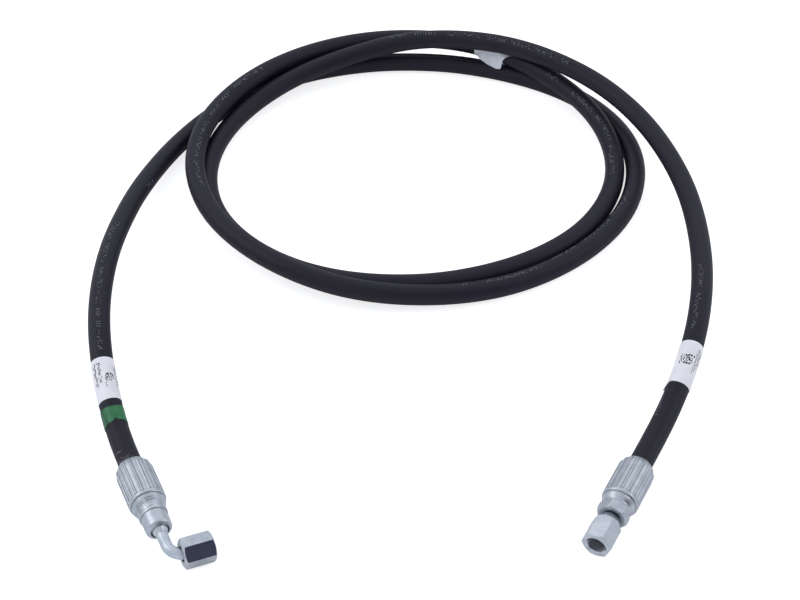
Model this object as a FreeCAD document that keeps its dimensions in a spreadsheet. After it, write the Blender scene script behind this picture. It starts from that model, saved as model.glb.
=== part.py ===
import FreeCAD, Part
import Sketcher
import os
import math
from FreeCAD import Vector, Rotation, Placement

# Hydraulic hose assembly: a wire-braid hose lying in two loose loops, crimped to
# a 90 degree swivel elbow at the -X end and to a straight swivel at the +X end.
# Millimetres, +Z up, table at Z = 0, origin under the middle of the assembly.
# Both fittings point to -Y.
#
# Each crimped end has a frame at the end of the free hose, with local X running
# towards the fitting. Stations are distances along that X unless noted.

os.makedirs("parts", exist_ok=True)
doc = FreeCAD.newDocument("hose_assembly")

# ---------------------------------------------------------------- dimensions
DIMS = {
    # hose layers, and the length of hose inside each fitting
    "hose_od": 13.4, "braid_od": 10.8, "braid_id": 9.4, "hose_id": 6.4,
    "hose_insert": 30.5,
    # bands around the hose
    "label_id": 13.5, "label_od": 13.96, "band_od": 13.86,
    "middle_id": 13.5, "middle_od": 13.9,
    # ferrule: stations, in order from the hose side
    "fer_start": 3.0, "fer_taper": 5.4, "fer_barrel_start": 9.0, "fer_barrel_end": 31.6,
    "fer_shoulder_end": 35.6, "fer_end": 38.5, "fer_rim_step": 0.05,
    "fer_bore_inset": 0.35, "fer_bore_end": 30.7, "fer_lip_start": 32.1, "fer_lip_end": 33.9,
    # ferrule: diameters
    "fer_mouth_dia": 13.9, "fer_taper_dia": 17.8, "fer_barrel_dia": 20.5, "fer_rim_dia": 21.1,
    "fer_shoulder_dia": 19.4, "fer_front_dia": 16.6, "fer_bore_dia": 13.46,
    "fer_hole_dia": 11.16, "fer_lip_dia": 9.2,
    # ferrule: crimp ridges
    "ridge_start": 7.2, "ridge_len": 24.4, "ridge_width": 1.0,
    "ridge_root_dia": 19.2, "ridge_top_dia": 21.08,
    # nipple and hub, the same on both stems
    "stem_bore_dia": 3.8, "nipple_dia": 6.34, "nipple_start": 5.0,
    "nipple_cham_len": 0.9, "nipple_cham_drop": 0.45,
    "barb_start": 8.0, "barb_pitch": 5.5, "barb_step": 0.3, "barb_len": 2.4, "barb_dia": 5.7,
    "hub_start": 30.75, "hub_dia": 11.1, "hub_groove_dia": 9.14,
    "hub_groove_start": 32.0, "hub_groove_end": 34.0, "body_start": 38.55,
    # elbow stem
    "collar_dia": 16.1, "collar_end": 44.0, "collar_back_cham": 0.4, "collar_front_cham": 0.3,
    "boss_dia": 15.2, "boss_end": 51.4, "elbow_stem_end": 55.3, "elbow_stem_end_dia": 9.9,
    "pocket_dia": 9.3, "pocket_start": 53.7, "tube_seat": 48.0, "tube_hole_dia": 6.44,
    # straight stem
    "blank_dia": 14.8, "blank_end": 46.2, "blank_front_dia": 13.2, "blank_front": 46.9,
    "hex_flats": 16.0, "hex_end": 46.4, "hex_cut_dia": 20.4, "hex_corner_dia": 18.6,
    "hex_back_cut": 38.0, "hex_back_cut_end": 40.2, "hex_back_dia": 16.4,
    "hex_front_cut": 43.0, "hex_front_cut_end": 46.6, "hex_front_dia": 14.4,
    "neck_dia": 7.6, "neck_end": 52.6, "head_dia": 9.44, "head_end": 57.0, "head_cham": 0.2,
    "seat_dia": 8.7, "seat_bottom": 53.75,
    # bent tube: corner is the station where its two centre lines meet
    "tube_od": 6.4, "tube_id": 4.4, "tube_start": 48.1, "corner": 73.8, "bend_radius": 8.5,
    # braze ring
    "braze_id": 6.46, "braze_od": 9.2, "braze_start": 53.8, "braze_rim_end": 55.0,
    "braze_end": 56.3, "braze_tip_dia": 6.7,
    # flare and sleeve, stations from the corner
    "flare_start": 14.0, "flare_len": 1.92, "flare_dia": 9.3,
    "sleeve_start": 9.0, "sleeve_cone_start": 11.9, "sleeve_end": 13.8,
    "sleeve_id": 6.5, "sleeve_od": 9.5, "sleeve_mouth_dia": 9.2,
    # both nuts
    "nut_flats": 15.0, "nut_cham_dia": 13.8, "nut_cham_len": 1.35,
    "cham_outer_dia": 18.8, "cham_overrun": 0.01,
    "thread_minor": 9.9, "thread_major": 11.12, "thread_pitch": 1.27,
    "thread_root_flat": 0.08, "thread_overcut": 0.25,
    "relief_depth": 0.1, "relief_taper": 1.1,
    "nut_mouth_dia": 11.9, "nut_mouth_len": 0.95, "nut_mouth_over": 0.05, "bore_overrun": 0.5,
    # elbow nut, stations from the corner
    "elbow_nut_start": 5.3, "elbow_nut_end": 22.9, "elbow_nut_rear_dia": 8.4,
    "rear_sink_len": 0.4, "rear_sink_rise": 0.9,
    "elbow_nut_shoulder": 8.9, "elbow_nut_relief_end": 16.4, "elbow_thread_start": 17.05,
    # straight nut
    "straight_nut_start": 47.3, "straight_nut_hex": 50.8, "straight_nut_end": 67.4,
    "straight_nut_rear_dia": 7.8, "straight_nut_shoulder": 52.5,
    "straight_nut_relief_end": 57.5, "straight_thread_start": 58.1,
    "nut_neck_back_dia": 10.6, "nut_neck_round_len": 1.5, "nut_neck_mid_dia": 12.8,
    "nut_neck_dia": 14.4, "nut_neck_overlap": 0.6, "nut_neck_cham_len": 2.3,
    # degrees the bent tube is turned about the stem, so that its nut dips
    "elbow_dip": 5.2,
}


class Dim:
    """A length as a number, with the expression that gives it from the sheet."""

    def __init__(self, value, text):
        self.value = value
        self.text = text

    def __float__(self):
        return self.value

    def __str__(self):
        return self.text

    def join(self, sign, other, value):
        return Dim(value, "(%s %s %s)" % (self, sign, other))

    def __add__(self, other):
        return self.join("+", other, self.value + float(other))

    def __sub__(self, other):
        return self.join("-", other, self.value - float(other))

    def __mul__(self, other):
        return self.join("*", other, self.value * float(other))

    def __truediv__(self, other):
        return self.join("/", other, self.value / float(other))


class Sizes:
    """Holds one Dim for each entry of DIMS."""


size = Sizes()
sheet = doc.addObject("Spreadsheet::Sheet", "Dims")
for row, (name, value) in enumerate(DIMS.items(), 1):
    sheet.set("A%d" % row, "'" + name)
    sheet.set("B%d" % row, repr(value))
    sheet.setAlias("B%d" % row, name)
    setattr(size, name, Dim(value, "Dims." + name))
doc.recompute()

# ---------------------------------------------------------------- frames
X_AXIS = Vector(1, 0, 0)
Z_AXIS = Vector(0, 0, 1)

ELBOW_END = Vector(-155.4544, -182.2927, 10.55)
ELBOW_DIRECTION = Vector(0.421719, -0.906727, 0.0)
STRAIGHT_END = Vector(131.5935, -182.1803, 10.55)
STRAIGHT_DIRECTION = Vector(-0.466845, -0.884339, 0.0)

# turns of the pieces about their own axes, degrees
ELBOW_FERRULE_ROLL = 8
STRAIGHT_FERRULE_ROLL = 3
STRAIGHT_STEM_ROLL = -17
ELBOW_NUT_ROLL = -12
STRAIGHT_NUT_ROLL = 9


def end_frame(origin, direction, roll):
    yaw = math.degrees(math.atan2(direction.y, direction.x))
    return Placement(origin, Rotation(Z_AXIS, yaw).multiply(Rotation(X_AXIS, roll)))


def elbow_frame(roll=0):
    return end_frame(ELBOW_END, ELBOW_DIRECTION, roll)


def straight_frame(roll=0):
    return end_frame(STRAIGHT_END, STRAIGHT_DIRECTION, roll)


TUBE_FRAME = elbow_frame(-float(size.elbow_dip))
# origin at the corner of the elbow, local X along the nut
CORNER_FRAME = TUBE_FRAME.multiply(
    Placement(Vector(float(size.corner), 0, 0), Rotation(Z_AXIS, 90)))

# ---------------------------------------------------------------- sketch and body helpers


def origin_feature(body, role):
    return next(o for o in body.Origin.OriginFeatures if o.Role == role)


def new_body(label, placement):
    body = doc.addObject("PartDesign::Body", label)
    body.Label = label
    body.Placement = placement
    return body


def new_sketch(body, name, plane, station=None):
    sketch = body.newObject("Sketcher::SketchObject", name + "_profile")
    sketch.AttachmentSupport = [(origin_feature(body, plane), "")]
    sketch.MapMode = "FlatFace"
    if station is not None:
        sketch.setExpression(".AttachmentOffset.Base.z", str(station))
    return sketch


def fix_length(sketch, kind, *reference_and_length):
    """Add a dimension; its last argument is the length, bound when it is a Dim."""
    *reference, length = reference_and_length
    index = sketch.addConstraint(Sketcher.Constraint(kind, *reference, float(length)))
    if isinstance(length, Dim):
        sketch.setExpression("Constraints[%d]" % index, str(length))


def rounding_points(start, middle, end, count=6):
    """Points between start and end on the circle through all three."""
    first, via, last = [Vector(float(p[0]), float(p[1]), 0) for p in (start, middle, end)]
    arc = Part.Arc(first, via, last)
    span = arc.LastParameter - arc.FirstParameter
    points = [arc.value(arc.FirstParameter + span * k / count) for k in range(1, count)]
    # guards against an arc that is parametrised from end to start
    if (arc.value(arc.FirstParameter) - first).Length > 1e-6:
        points.reverse()
    return [(p.x, p.y) for p in points]


def outline_sketch(body, name, outline):
    """Closed profile on the XY plane. Each entry is (station, radius), or
    (station, radius, (station, radius)) when the edge that ends there is a
    rounding through the second pair, made of short chords."""
    points = []
    for i, point in enumerate(outline):
        if len(point) == 3:
            points += rounding_points(outline[i - 1], point[2], point)
        points.append(point[:2])
    sketch = new_sketch(body, name, "XY_Plane")
    corners = [Vector(float(x), float(y), 0) for x, y in points]
    count = len(points)
    for i in range(count):
        sketch.addGeometry(Part.LineSegment(corners[i - 1], corners[i]), False)
    for i in range(count):
        sketch.addConstraint(Sketcher.Constraint("Coincident", i, 2, (i + 1) % count, 1))
    for i, (x, y) in enumerate(points):
        fix_length(sketch, "DistanceX", i, 2, x)
        if float(y) == 0:
            sketch.addConstraint(Sketcher.Constraint("PointOnObject", i, 2, -1))
        else:
            fix_length(sketch, "DistanceY", i, 2, y)
    return sketch


def turn(body, kind, name, outline):
    """Full turn of an outline about the body's X axis."""
    sketch = outline_sketch(body, name, outline)
    feature = body.newObject("PartDesign::" + kind, name)
    feature.Profile = sketch
    feature.ReferenceAxis = (sketch, ["H_Axis"])
    feature.Angle = 360
    sketch.Visibility = False
    return feature


def revolve(body, name, outline):
    return turn(body, "Revolution", name, outline)


def groove(body, name, outline):
    return turn(body, "Groove", name, outline)


def pad(body, name, sketch, length):
    feature = body.newObject("PartDesign::Pad", name)
    feature.Profile = sketch
    feature.Length = float(length)
    feature.setExpression("Length", str(length))
    sketch.Visibility = False
    return feature


def hex_pad(body, name, flats, start, end):
    """Hexagonal prism along the body's X axis, flats facing local +Z and -Z."""
    sketch = new_sketch(body, name, "YZ_Plane", start)
    radius = flats / math.sqrt(3.0)
    sketch.addGeometry(Part.Circle(Vector(0, 0, 0), Z_AXIS, float(radius)), True)
    sketch.addConstraint(Sketcher.Constraint("Coincident", 0, 3, -1, 1))
    fix_length(sketch, "Radius", 0, radius)
    angles = [math.radians(60 * k) for k in range(6)]
    corners = [Vector(math.cos(a), math.sin(a), 0) * float(radius) for a in angles]
    for k in range(6):
        sketch.addGeometry(Part.LineSegment(corners[k], corners[(k + 1) % 6]), False)
    for k in range(6):
        sketch.addConstraint(Sketcher.Constraint("Coincident", k + 1, 2, (k + 1) % 6 + 1, 1))
    for k in range(6):
        sketch.addConstraint(Sketcher.Constraint("PointOnObject", k + 1, 1, 0))
    for k in range(1, 6):
        sketch.addConstraint(Sketcher.Constraint("Equal", 1, k + 1))
    sketch.addConstraint(Sketcher.Constraint("Horizontal", 2))
    pad(body, name, sketch, end - start)


def circle_object(name, placement, diameter):
    circle = doc.addObject("Part::Circle", name + "_circle")
    circle.Placement = placement
    circle.Radius = float(diameter) / 2
    circle.setExpression("Radius", str(diameter / 2))
    return circle


# ---------------------------------------------------------------- hose centre line
# x, y, z of the centre line between the two crimped ends, from the elbow on
HOSE_PATH = [
    (-163.44, -164.05, 11.36), (-170.27, -145.57, 14.53), (-176.08, -126.98, 18.85),
    (-180.87, -108.07, 23.06), (-184.52, -88.71, 26.19), (-186.96, -68.98, 27.80),
    (-188.29, -49.07, 27.93), (-188.78, -29.15, 26.86), (-188.44, -9.30, 24.89),
    (-187.27, 10.45, 22.28), (-185.40, 30.11, 19.41), (-182.84, 49.69, 16.53),
    (-179.18, 69.11, 13.73), (-174.35, 88.31, 11.27), (-168.28, 107.22, 9.36),
    (-160.72, 125.63, 7.99), (-151.56, 143.34, 7.17), (-140.76, 160.10, 6.80),
    (-128.29, 175.67, 6.72), (-114.15, 189.74, 6.72), (-98.39, 201.97, 6.72),
    (-81.21, 212.10, 6.72), (-62.91, 220.02, 6.72), (-43.82, 225.83, 6.73),
    (-24.23, 229.57, 6.76), (-4.35, 231.21, 6.73), (15.59, 230.80, 6.75),
    (35.39, 228.38, 6.84), (54.82, 223.84, 6.78), (73.69, 217.37, 6.72),
    (91.80, 209.02, 6.72), (108.83, 198.64, 6.75), (124.28, 186.04, 6.80),
    (137.61, 171.21, 6.75), (148.41, 154.45, 6.72), (156.27, 136.14, 6.76),
    (160.59, 116.69, 6.83), (161.14, 96.76, 6.82), (158.28, 77.03, 6.76),
    (152.47, 57.96, 6.72), (143.84, 39.99, 6.73), (132.69, 23.45, 6.75),
    (119.50, 8.49, 6.74), (104.57, -4.73, 6.72), (88.14, -16.05, 6.72),
    (70.50, -25.34, 6.80), (51.85, -32.40, 7.25), (32.51, -37.20, 8.12),
    (12.78, -39.86, 9.29), (-7.12, -40.41, 10.58), (-26.93, -38.60, 11.98),
    (-46.31, -34.16, 13.51), (-64.82, -26.92, 15.10), (-82.16, -17.16, 16.39),
    (-98.05, -5.14, 17.32), (-112.14, 8.96, 17.99), (-124.21, 24.83, 18.33),
    (-133.73, 42.35, 18.48), (-140.56, 61.08, 18.50), (-144.83, 80.56, 18.36),
    (-146.24, 100.44, 18.26), (-144.59, 120.31, 18.39), (-139.81, 139.66, 18.79),
    (-132.06, 158.02, 19.42), (-121.81, 175.12, 20.09), (-109.52, 190.82, 20.50),
    (-95.61, 205.12, 20.43), (-80.41, 218.02, 19.83), (-63.94, 229.24, 18.91),
    (-46.19, 238.29, 18.04), (-27.27, 244.54, 17.48), (-7.55, 247.38, 17.33),
    (12.36, 246.60, 17.77), (31.82, 242.41, 18.82), (50.31, 235.04, 19.90),
    (67.58, 225.09, 20.55), (83.68, 213.30, 20.58), (98.72, 200.21, 19.83),
    (112.64, 186.00, 18.31), (125.09, 170.56, 16.26), (135.36, 153.63, 13.92),
    (142.59, 135.22, 11.46), (146.35, 115.77, 9.28), (146.55, 95.90, 7.81),
    (143.12, 76.28, 7.07), (136.38, 57.52, 6.81), (126.94, 39.96, 6.73),
    (114.91, 24.06, 6.72), (100.56, 10.22, 6.74), (84.38, -1.43, 6.75),
    (66.85, -10.95, 6.76), (48.33, -18.36, 6.76), (29.09, -23.62, 6.73),
    (9.36, -26.55, 6.73), (-10.58, -27.05, 6.77), (-30.43, -25.14, 6.76),
    (-49.86, -20.65, 6.73), (-68.42, -13.37, 6.72), (-85.63, -3.31, 6.74),
    (-101.08, 9.30, 6.74), (-114.38, 24.15, 6.73), (-125.05, 40.99, 6.72),
    (-132.59, 59.43, 6.72), (-136.81, 78.91, 6.72), (-137.83, 98.83, 6.72),
    (-135.64, 118.64, 6.84), (-130.26, 137.83, 7.34), (-121.76, 155.83, 8.38),
    (-110.42, 172.15, 9.99), (-96.81, 186.55, 12.13), (-81.36, 198.95, 14.49),
    (-64.48, 209.32, 16.79), (-46.53, 217.71, 19.12), (-27.83, 224.09, 21.82),
    (-8.55, 228.15, 24.87), (11.17, 229.24, 27.59), (30.89, 227.22, 29.75),
    (50.19, 222.56, 31.60), (68.85, 215.64, 33.04), (86.69, 206.75, 33.81),
    (103.60, 196.17, 33.81), (119.46, 184.08, 33.21), (134.08, 170.55, 32.24),
    (147.15, 155.53, 30.95), (158.41, 139.14, 29.44), (167.84, 121.63, 27.95),
    (175.35, 103.20, 26.61), (181.06, 84.11, 25.61), (185.18, 64.59, 25.16),
    (187.68, 44.80, 25.22), (188.70, 24.88, 25.71), (188.53, 4.94, 26.52),
    (187.41, -14.96, 27.49), (185.35, -34.79, 28.31), (182.26, -54.50, 28.61),
    (178.16, -74.02, 27.98), (172.94, -93.18, 26.04), (166.48, -111.75, 22.69),
    (158.91, -129.71, 18.40), (150.36, -147.24, 14.17), (141.04, -164.63, 11.25),
]
INSERT_STEPS = 5
insert_length = float(size.hose_insert)
insert_stations = [insert_length * k / INSERT_STEPS for k in range(INSERT_STEPS + 1)]
hose_points = (
    [ELBOW_END + ELBOW_DIRECTION * x for x in reversed(insert_stations)]
    + [Vector(*point) for point in HOSE_PATH]
    + [STRAIGHT_END + STRAIGHT_DIRECTION * x for x in insert_stations]
)
hose_curve = Part.BSplineCurve()
hose_curve.interpolate(Points=hose_points)
hose_path = doc.addObject("Part::Feature", "hose_path")
hose_path.Shape = Part.Wire([hose_curve.toShape()])
free_length = hose_curve.length() - 2 * insert_length

# ---------------------------------------------------------------- hose layers and bands


def sweep_circle(spine, circle):
    """Solid swept by a circle, held within 0.00001 mm of the true sweep."""
    sweep = Part.BRepOffsetAPI.MakePipeShell(spine)
    sweep.setFrenetMode(False)
    sweep.setTolerance(1e-5, 1e-5, 1e-3)
    sweep.setMaxSegments(3000)
    sweep.add(Part.Wire(circle.Shape.Edges))
    sweep.build()
    sweep.makeSolid()
    return sweep.shape()


def split_faces(shape):
    """Flat end faces and curved wall faces of a swept solid."""
    flat = [f for f in shape.Faces if f.Surface.TypeId == "Part::GeomPlane"]
    wall = [f for f in shape.Faces if f.Surface.TypeId != "Part::GeomPlane"]
    return flat, wall


def swept_layer(name, spine, centre, direction, outer_dia, inner_dia):
    """Tube along the spine: outer and inner walls joined by flat end rings."""
    placement = Placement(centre, Rotation(Z_AXIS, direction))
    circles = [circle_object(name + "_outer", placement, outer_dia),
               circle_object(name + "_inner", placement, inner_dia)]
    doc.recompute()
    outer, inner = [sweep_circle(spine, circle) for circle in circles]
    outer_ends, outer_wall = split_faces(outer)
    inner_ends, inner_wall = split_faces(inner)
    faces = outer_wall + [f.reversed() for f in inner_wall]
    for end in outer_ends:
        hole = min(inner_ends, key=lambda f: (f.CenterOfMass - end.CenterOfMass).Length)
        cap = Part.Face([end.OuterWire, hole.OuterWire])
        if cap.normalAt(0, 0).dot(end.normalAt(0, 0)) < 0:
            cap = cap.reversed()
        faces.append(cap)
    solid = Part.Solid(Part.Shell(faces))
    solid.fix(1e-5, 1e-5, 1e-4)
    # the fix may wrap the solid in a compound
    if solid.ShapeType != "Solid":
        solid = solid.Solids[0]
    if abs(solid.Volume - (outer.Volume - inner.Volume)) > 1e-3 * outer.Volume:
        raise RuntimeError("wrong wall volume: " + name)
    layer = doc.addObject("Part::Feature", name)
    layer.Label = name
    layer.Shape = solid
    return layer


def hose_layer(name, outer_dia, inner_dia):
    return swept_layer(name, hose_path.Shape.Wires[0], hose_points[0],
                       ELBOW_DIRECTION * -1, outer_dia, inner_dia)


def band(name, start, end, outer_dia, inner_dia):
    """Sleeve around the hose; start and end are lengths of hose from ELBOW_END."""
    first, last = [
        hose_curve.parameterAtDistance(length + insert_length, hose_curve.FirstParameter)
        for length in (start, end)]
    piece = hose_curve.copy()
    piece.segment(first, last)
    return swept_layer(name, Part.Wire([piece.toShape()]), hose_curve.value(first),
                       hose_curve.tangent(first)[0], outer_dia, inner_dia)


# name, outer diameter, inner diameter
HOSE_LAYERS = [
    ("hose_inner_tube", size.braid_id, size.hose_id),
    ("hose_wire_braid", size.braid_od, size.braid_id),
    ("hose_cover", size.hose_od, size.braid_od),
]
# name, start, end, outer diameter, inner diameter
BANDS = [
    ("green_band", 28.8, 40.6, size.band_od, size.label_id),
    ("left_label", 43.9, 73.2, size.label_od, size.label_id),
    ("right_label", free_length - 88.8, free_length - 58.3, size.label_od, size.label_id),
    ("middle_label", 1503.0, 1528.5, size.middle_od, size.middle_id),
]

# ---------------------------------------------------------------- ferrules
RIDGE_COUNT = 16  # both edges of each of eight crimping dies


def ferrule(label, placement):
    body = new_body(label, placement)
    hole = size.fer_hole_dia / 2
    revolve(body, label + "_shell", [
        (size.fer_start, size.fer_mouth_dia / 2),
        (size.fer_taper, size.fer_taper_dia / 2, (3.7, 8.1)),
        (size.fer_barrel_start, size.fer_barrel_dia / 2, (6.9, 9.85)),
        (size.fer_barrel_end, size.fer_barrel_dia / 2),
        (size.fer_barrel_end + size.fer_rim_step, size.fer_rim_dia / 2),
        (size.fer_shoulder_end, size.fer_shoulder_dia / 2, (34.1, 10.28)),
        (size.fer_end, size.fer_front_dia / 2),
        (size.fer_end, hole),
        (size.fer_lip_end, hole),
        (size.fer_lip_end, size.fer_lip_dia / 2),
        (size.fer_lip_start, size.fer_lip_dia / 2),
        (size.fer_lip_start, hole),
        (size.fer_bore_end, hole),
        (size.fer_bore_end, size.fer_bore_dia / 2),
        (size.fer_start + size.fer_bore_inset, size.fer_bore_dia / 2),
    ])
    ridge = crimp_ridge(body, label + "_ridge")
    pattern = body.newObject("PartDesign::PolarPattern", label + "_ridges")
    pattern.Originals = [ridge]
    pattern.Axis = (origin_feature(body, "X_Axis"), [""])
    pattern.Angle = 360
    pattern.Occurrences = RIDGE_COUNT
    body.Tip = pattern
    return body


def crimp_ridge(body, name):
    """Lengthwise ridge of trapezium section, wider at its root."""
    top_width = size.ridge_width * 0.7
    root_width = size.ridge_width * 1.5
    top = size.ridge_top_dia / 2
    root = size.ridge_root_dia / 2
    corners = [Vector(side * float(width) / 2, float(height), 0) for side, width, height in (
        (1, root_width, root), (1, top_width, top), (-1, top_width, top), (-1, root_width, root))]
    sketch = new_sketch(body, name, "YZ_Plane", size.ridge_start)
    for k in range(4):
        sketch.addGeometry(Part.LineSegment(corners[k], corners[(k + 1) % 4]), False)
    for k in range(4):
        sketch.addConstraint(Sketcher.Constraint("Coincident", k, 2, (k + 1) % 4, 1))
    sketch.addConstraint(Sketcher.Constraint("Symmetric", 1, 1, 1, 2, -2))
    sketch.addConstraint(Sketcher.Constraint("Symmetric", 3, 2, 3, 1, -2))
    fix_length(sketch, "DistanceY", 1, 1, top)
    fix_length(sketch, "DistanceY", 3, 1, root)
    fix_length(sketch, "DistanceX", 1, 2, 1, 1, top_width)
    fix_length(sketch, "DistanceX", 3, 1, 3, 2, root_width)
    return pad(body, name, sketch, size.ridge_len)


# ---------------------------------------------------------------- stems
BARB_COUNT = 4


def nipple_outline():
    """Part of a stem that lies inside the hose and ferrule."""
    nipple = size.nipple_dia / 2
    outline = [
        (size.nipple_start, size.stem_bore_dia / 2),
        (size.nipple_start, nipple - size.nipple_cham_drop),
        (size.nipple_start + size.nipple_cham_len, nipple),
    ]
    for k in range(BARB_COUNT):
        barb = size.barb_start + size.barb_pitch * k
        outline += [
            (barb, nipple),
            (barb + size.barb_step, size.barb_dia / 2),
            (barb + size.barb_len, nipple),
        ]
    return outline + [
        (size.hub_start, nipple),
        (size.hub_start, size.hub_dia / 2),
        (size.hub_groove_start, size.hub_dia / 2),
        (size.hub_groove_start, size.hub_groove_dia / 2),
        (size.hub_groove_end, size.hub_groove_dia / 2),
        (size.hub_groove_end, size.hub_dia / 2),
        (size.body_start, size.hub_dia / 2),
    ]


def elbow_stem():
    body = new_body("elbow_stem", elbow_frame())
    collar = size.collar_dia / 2
    revolve(body, "elbow_stem_turned", nipple_outline() + [
        (size.body_start, collar - size.collar_back_cham),
        (size.body_start + size.collar_back_cham, collar),
        (size.collar_end - size.collar_front_cham, collar),
        (size.collar_end, size.boss_dia / 2),
        (size.boss_end, size.boss_dia / 2),
        (size.elbow_stem_end, size.elbow_stem_end_dia / 2, (54.1, 6.75)),
        (size.elbow_stem_end, size.pocket_dia / 2),
        (size.pocket_start, size.pocket_dia / 2),
        (size.pocket_start, size.tube_hole_dia / 2),
        (size.tube_seat, size.tube_hole_dia / 2),
        (size.tube_seat, size.stem_bore_dia / 2),
    ])
    return body


def straight_stem():
    body = new_body("straight_stem", straight_frame(STRAIGHT_STEM_ROLL))
    revolve(body, "straight_stem_turned", nipple_outline() + [
        (size.body_start, size.blank_dia / 2),
        (size.blank_end, size.blank_dia / 2),
        (size.blank_front, size.blank_front_dia / 2),
        (size.blank_front, size.neck_dia / 2),
        (size.neck_end, size.neck_dia / 2),
        (size.neck_end, size.head_dia / 2 - size.head_cham),
        (size.neck_end + size.head_cham, size.head_dia / 2),
        (size.head_end, size.head_dia / 2),
        (size.head_end, size.seat_dia / 2),
        (size.seat_bottom, size.stem_bore_dia / 2),
    ])
    hex_pad(body, "straight_stem_hex", size.hex_flats, size.body_start, size.hex_end)
    # both ends of the hexagon lose their corners; front is towards +X
    clear = size.hex_cut_dia / 2
    groove(body, "straight_stem_round_front", [
        (size.hex_front_cut, clear),
        (size.hex_front_cut, size.hex_corner_dia / 2),
        (size.hex_front_cut_end, size.hex_front_dia / 2, (45.25, 8.6)),
        (size.hex_front_cut_end, clear),
    ])
    groove(body, "straight_stem_round_back", [
        (size.hex_back_cut, clear),
        (size.hex_back_cut, size.hex_back_dia / 2),
        (size.hex_back_cut_end, size.hex_corner_dia / 2),
        (size.hex_back_cut_end, clear),
    ])
    return body


# ---------------------------------------------------------------- elbow tube and its rings


def bent_pipe():
    """Pipe with a 90 degree bend, from the stem to the start of the flare."""
    start = float(size.tube_start)
    corner = float(size.corner)
    radius = float(size.bend_radius)
    bend_start = Vector(corner - radius, 0, 0)
    bend_end = Vector(corner, radius, 0)
    diagonal = radius * math.sqrt(0.5)
    bend_middle = Vector(corner - radius + diagonal, radius - diagonal, 0)
    path = doc.addObject("Part::Feature", "tube_path")
    path.Shape = Part.Wire([
        Part.LineSegment(Vector(start, 0, 0), bend_start).toShape(),
        Part.Arc(bend_start, bend_middle, bend_end).toShape(),
        Part.LineSegment(bend_end, Vector(corner, float(size.flare_start), 0)).toShape(),
    ])
    path.Placement = TUBE_FRAME
    circle_place = TUBE_FRAME.multiply(
        Placement(Vector(start, 0, 0), Rotation(Z_AXIS, X_AXIS)))
    sweeps = []
    for name, diameter in (("tube_od", size.tube_od), ("tube_id", size.tube_id)):
        circle = circle_object(name, circle_place, diameter)
        sweep = doc.addObject("Part::Sweep", name + "_sweep")
        sweep.Sections = [circle]
        sweep.Spine = (path, ["Edge1", "Edge2", "Edge3"])
        sweep.Solid = True
        sweep.Frenet = False
        sweeps.append(sweep)
    pipe = doc.addObject("Part::Cut", "bent_pipe")
    pipe.Base, pipe.Tool = sweeps
    return pipe


def elbow_tube():
    pipe = bent_pipe()
    flare = new_body("tube_flare", CORNER_FRAME)
    flare_end = size.flare_start + size.flare_len
    # outer cone, rounded rim in two short edges, then back along the inner cone
    revolve(flare, "tube_flare_cone", [
        (size.flare_start, size.tube_id / 2),
        (size.flare_start, size.tube_od / 2),
        (flare_end, size.flare_dia / 2),
        (flare_end + 0.15, size.flare_dia / 2 - 0.1),
        (flare_end + 0.45, size.flare_dia / 2 - 0.75),
        (size.flare_start + 0.35, size.tube_id / 2),
    ])
    tube = doc.addObject("Part::Fuse", "elbow_tube")
    tube.Label = "elbow_tube"
    tube.Base = pipe
    tube.Tool = flare
    tube.Refine = True
    return tube


def elbow_braze_ring():
    body = new_body("elbow_braze_ring", elbow_frame())
    revolve(body, "elbow_braze_ring_fillet", [
        (size.braze_start, size.braze_id / 2),
        (size.braze_start, size.braze_od / 2),
        (size.braze_rim_end, size.braze_od / 2),
        (size.braze_end, size.braze_tip_dia / 2, (55.45, 3.85)),
        (size.braze_end, size.braze_id / 2),
    ])
    return body


def elbow_flare_sleeve():
    body = new_body("elbow_flare_sleeve", CORNER_FRAME)
    revolve(body, "elbow_flare_sleeve_turned", [
        (size.sleeve_start, size.sleeve_id / 2),
        (size.sleeve_start, size.sleeve_od / 2),
        (size.sleeve_end, size.sleeve_od / 2),
        (size.sleeve_end, size.sleeve_mouth_dia / 2),
        (size.sleeve_cone_start, size.sleeve_id / 2),
    ])
    return body


# ---------------------------------------------------------------- nuts


def chamfer(body, name, outside, inside, diameter):
    """Cone that trims the hexagon's corners, from just outside an end face."""
    clear = size.cham_outer_dia / 2
    groove(body, name, [(outside, diameter / 2), (outside, clear), (inside, clear)])


def chamfer_mouth(body, label, end):
    chamfer(body, label + "_chamfer_mouth", end + size.cham_overrun,
            end - size.nut_cham_len, size.nut_cham_dia)


def nut_bore(body, label, rear_outline, rear_radius, shoulder, relief_end, end):
    """Rear hole, relief behind the thread, thread hole and countersunk mouth."""
    relief = size.thread_major / 2 + size.relief_depth
    thread_hole = size.thread_minor / 2
    mouth = size.nut_mouth_dia / 2
    groove(body, label + "_bore", rear_outline + [
        (shoulder, rear_radius),
        (shoulder, relief),
        (relief_end - size.relief_taper, relief),
        (relief_end, thread_hole),
        (end - size.nut_mouth_len, thread_hole),
        (end + size.nut_mouth_over, mouth),
        (end + size.bore_overrun, mouth),
        (end + size.bore_overrun, 0.0),
    ])


def thread(body, label, first, count):
    """Sixty degree ring grooves, one pitch apart, the first centred on a station."""
    root = size.thread_major / 2
    low = size.thread_minor / 2 - size.thread_overcut
    flat = size.thread_root_flat
    wide = flat + (root - low) * math.tan(math.radians(30))
    cut = groove(body, label + "_thread_groove", [
        (first - wide, low),
        (first - flat, root),
        (first + flat, root),
        (first + wide, low),
    ])
    length = size.thread_pitch * (count - 1)
    pattern = body.newObject("PartDesign::LinearPattern", label + "_thread")
    pattern.Originals = [cut]
    pattern.Direction = (origin_feature(body, "X_Axis"), [""])
    pattern.Length = float(length)
    pattern.setExpression("Length", str(length))
    pattern.Occurrences = count
    body.Tip = pattern


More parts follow.
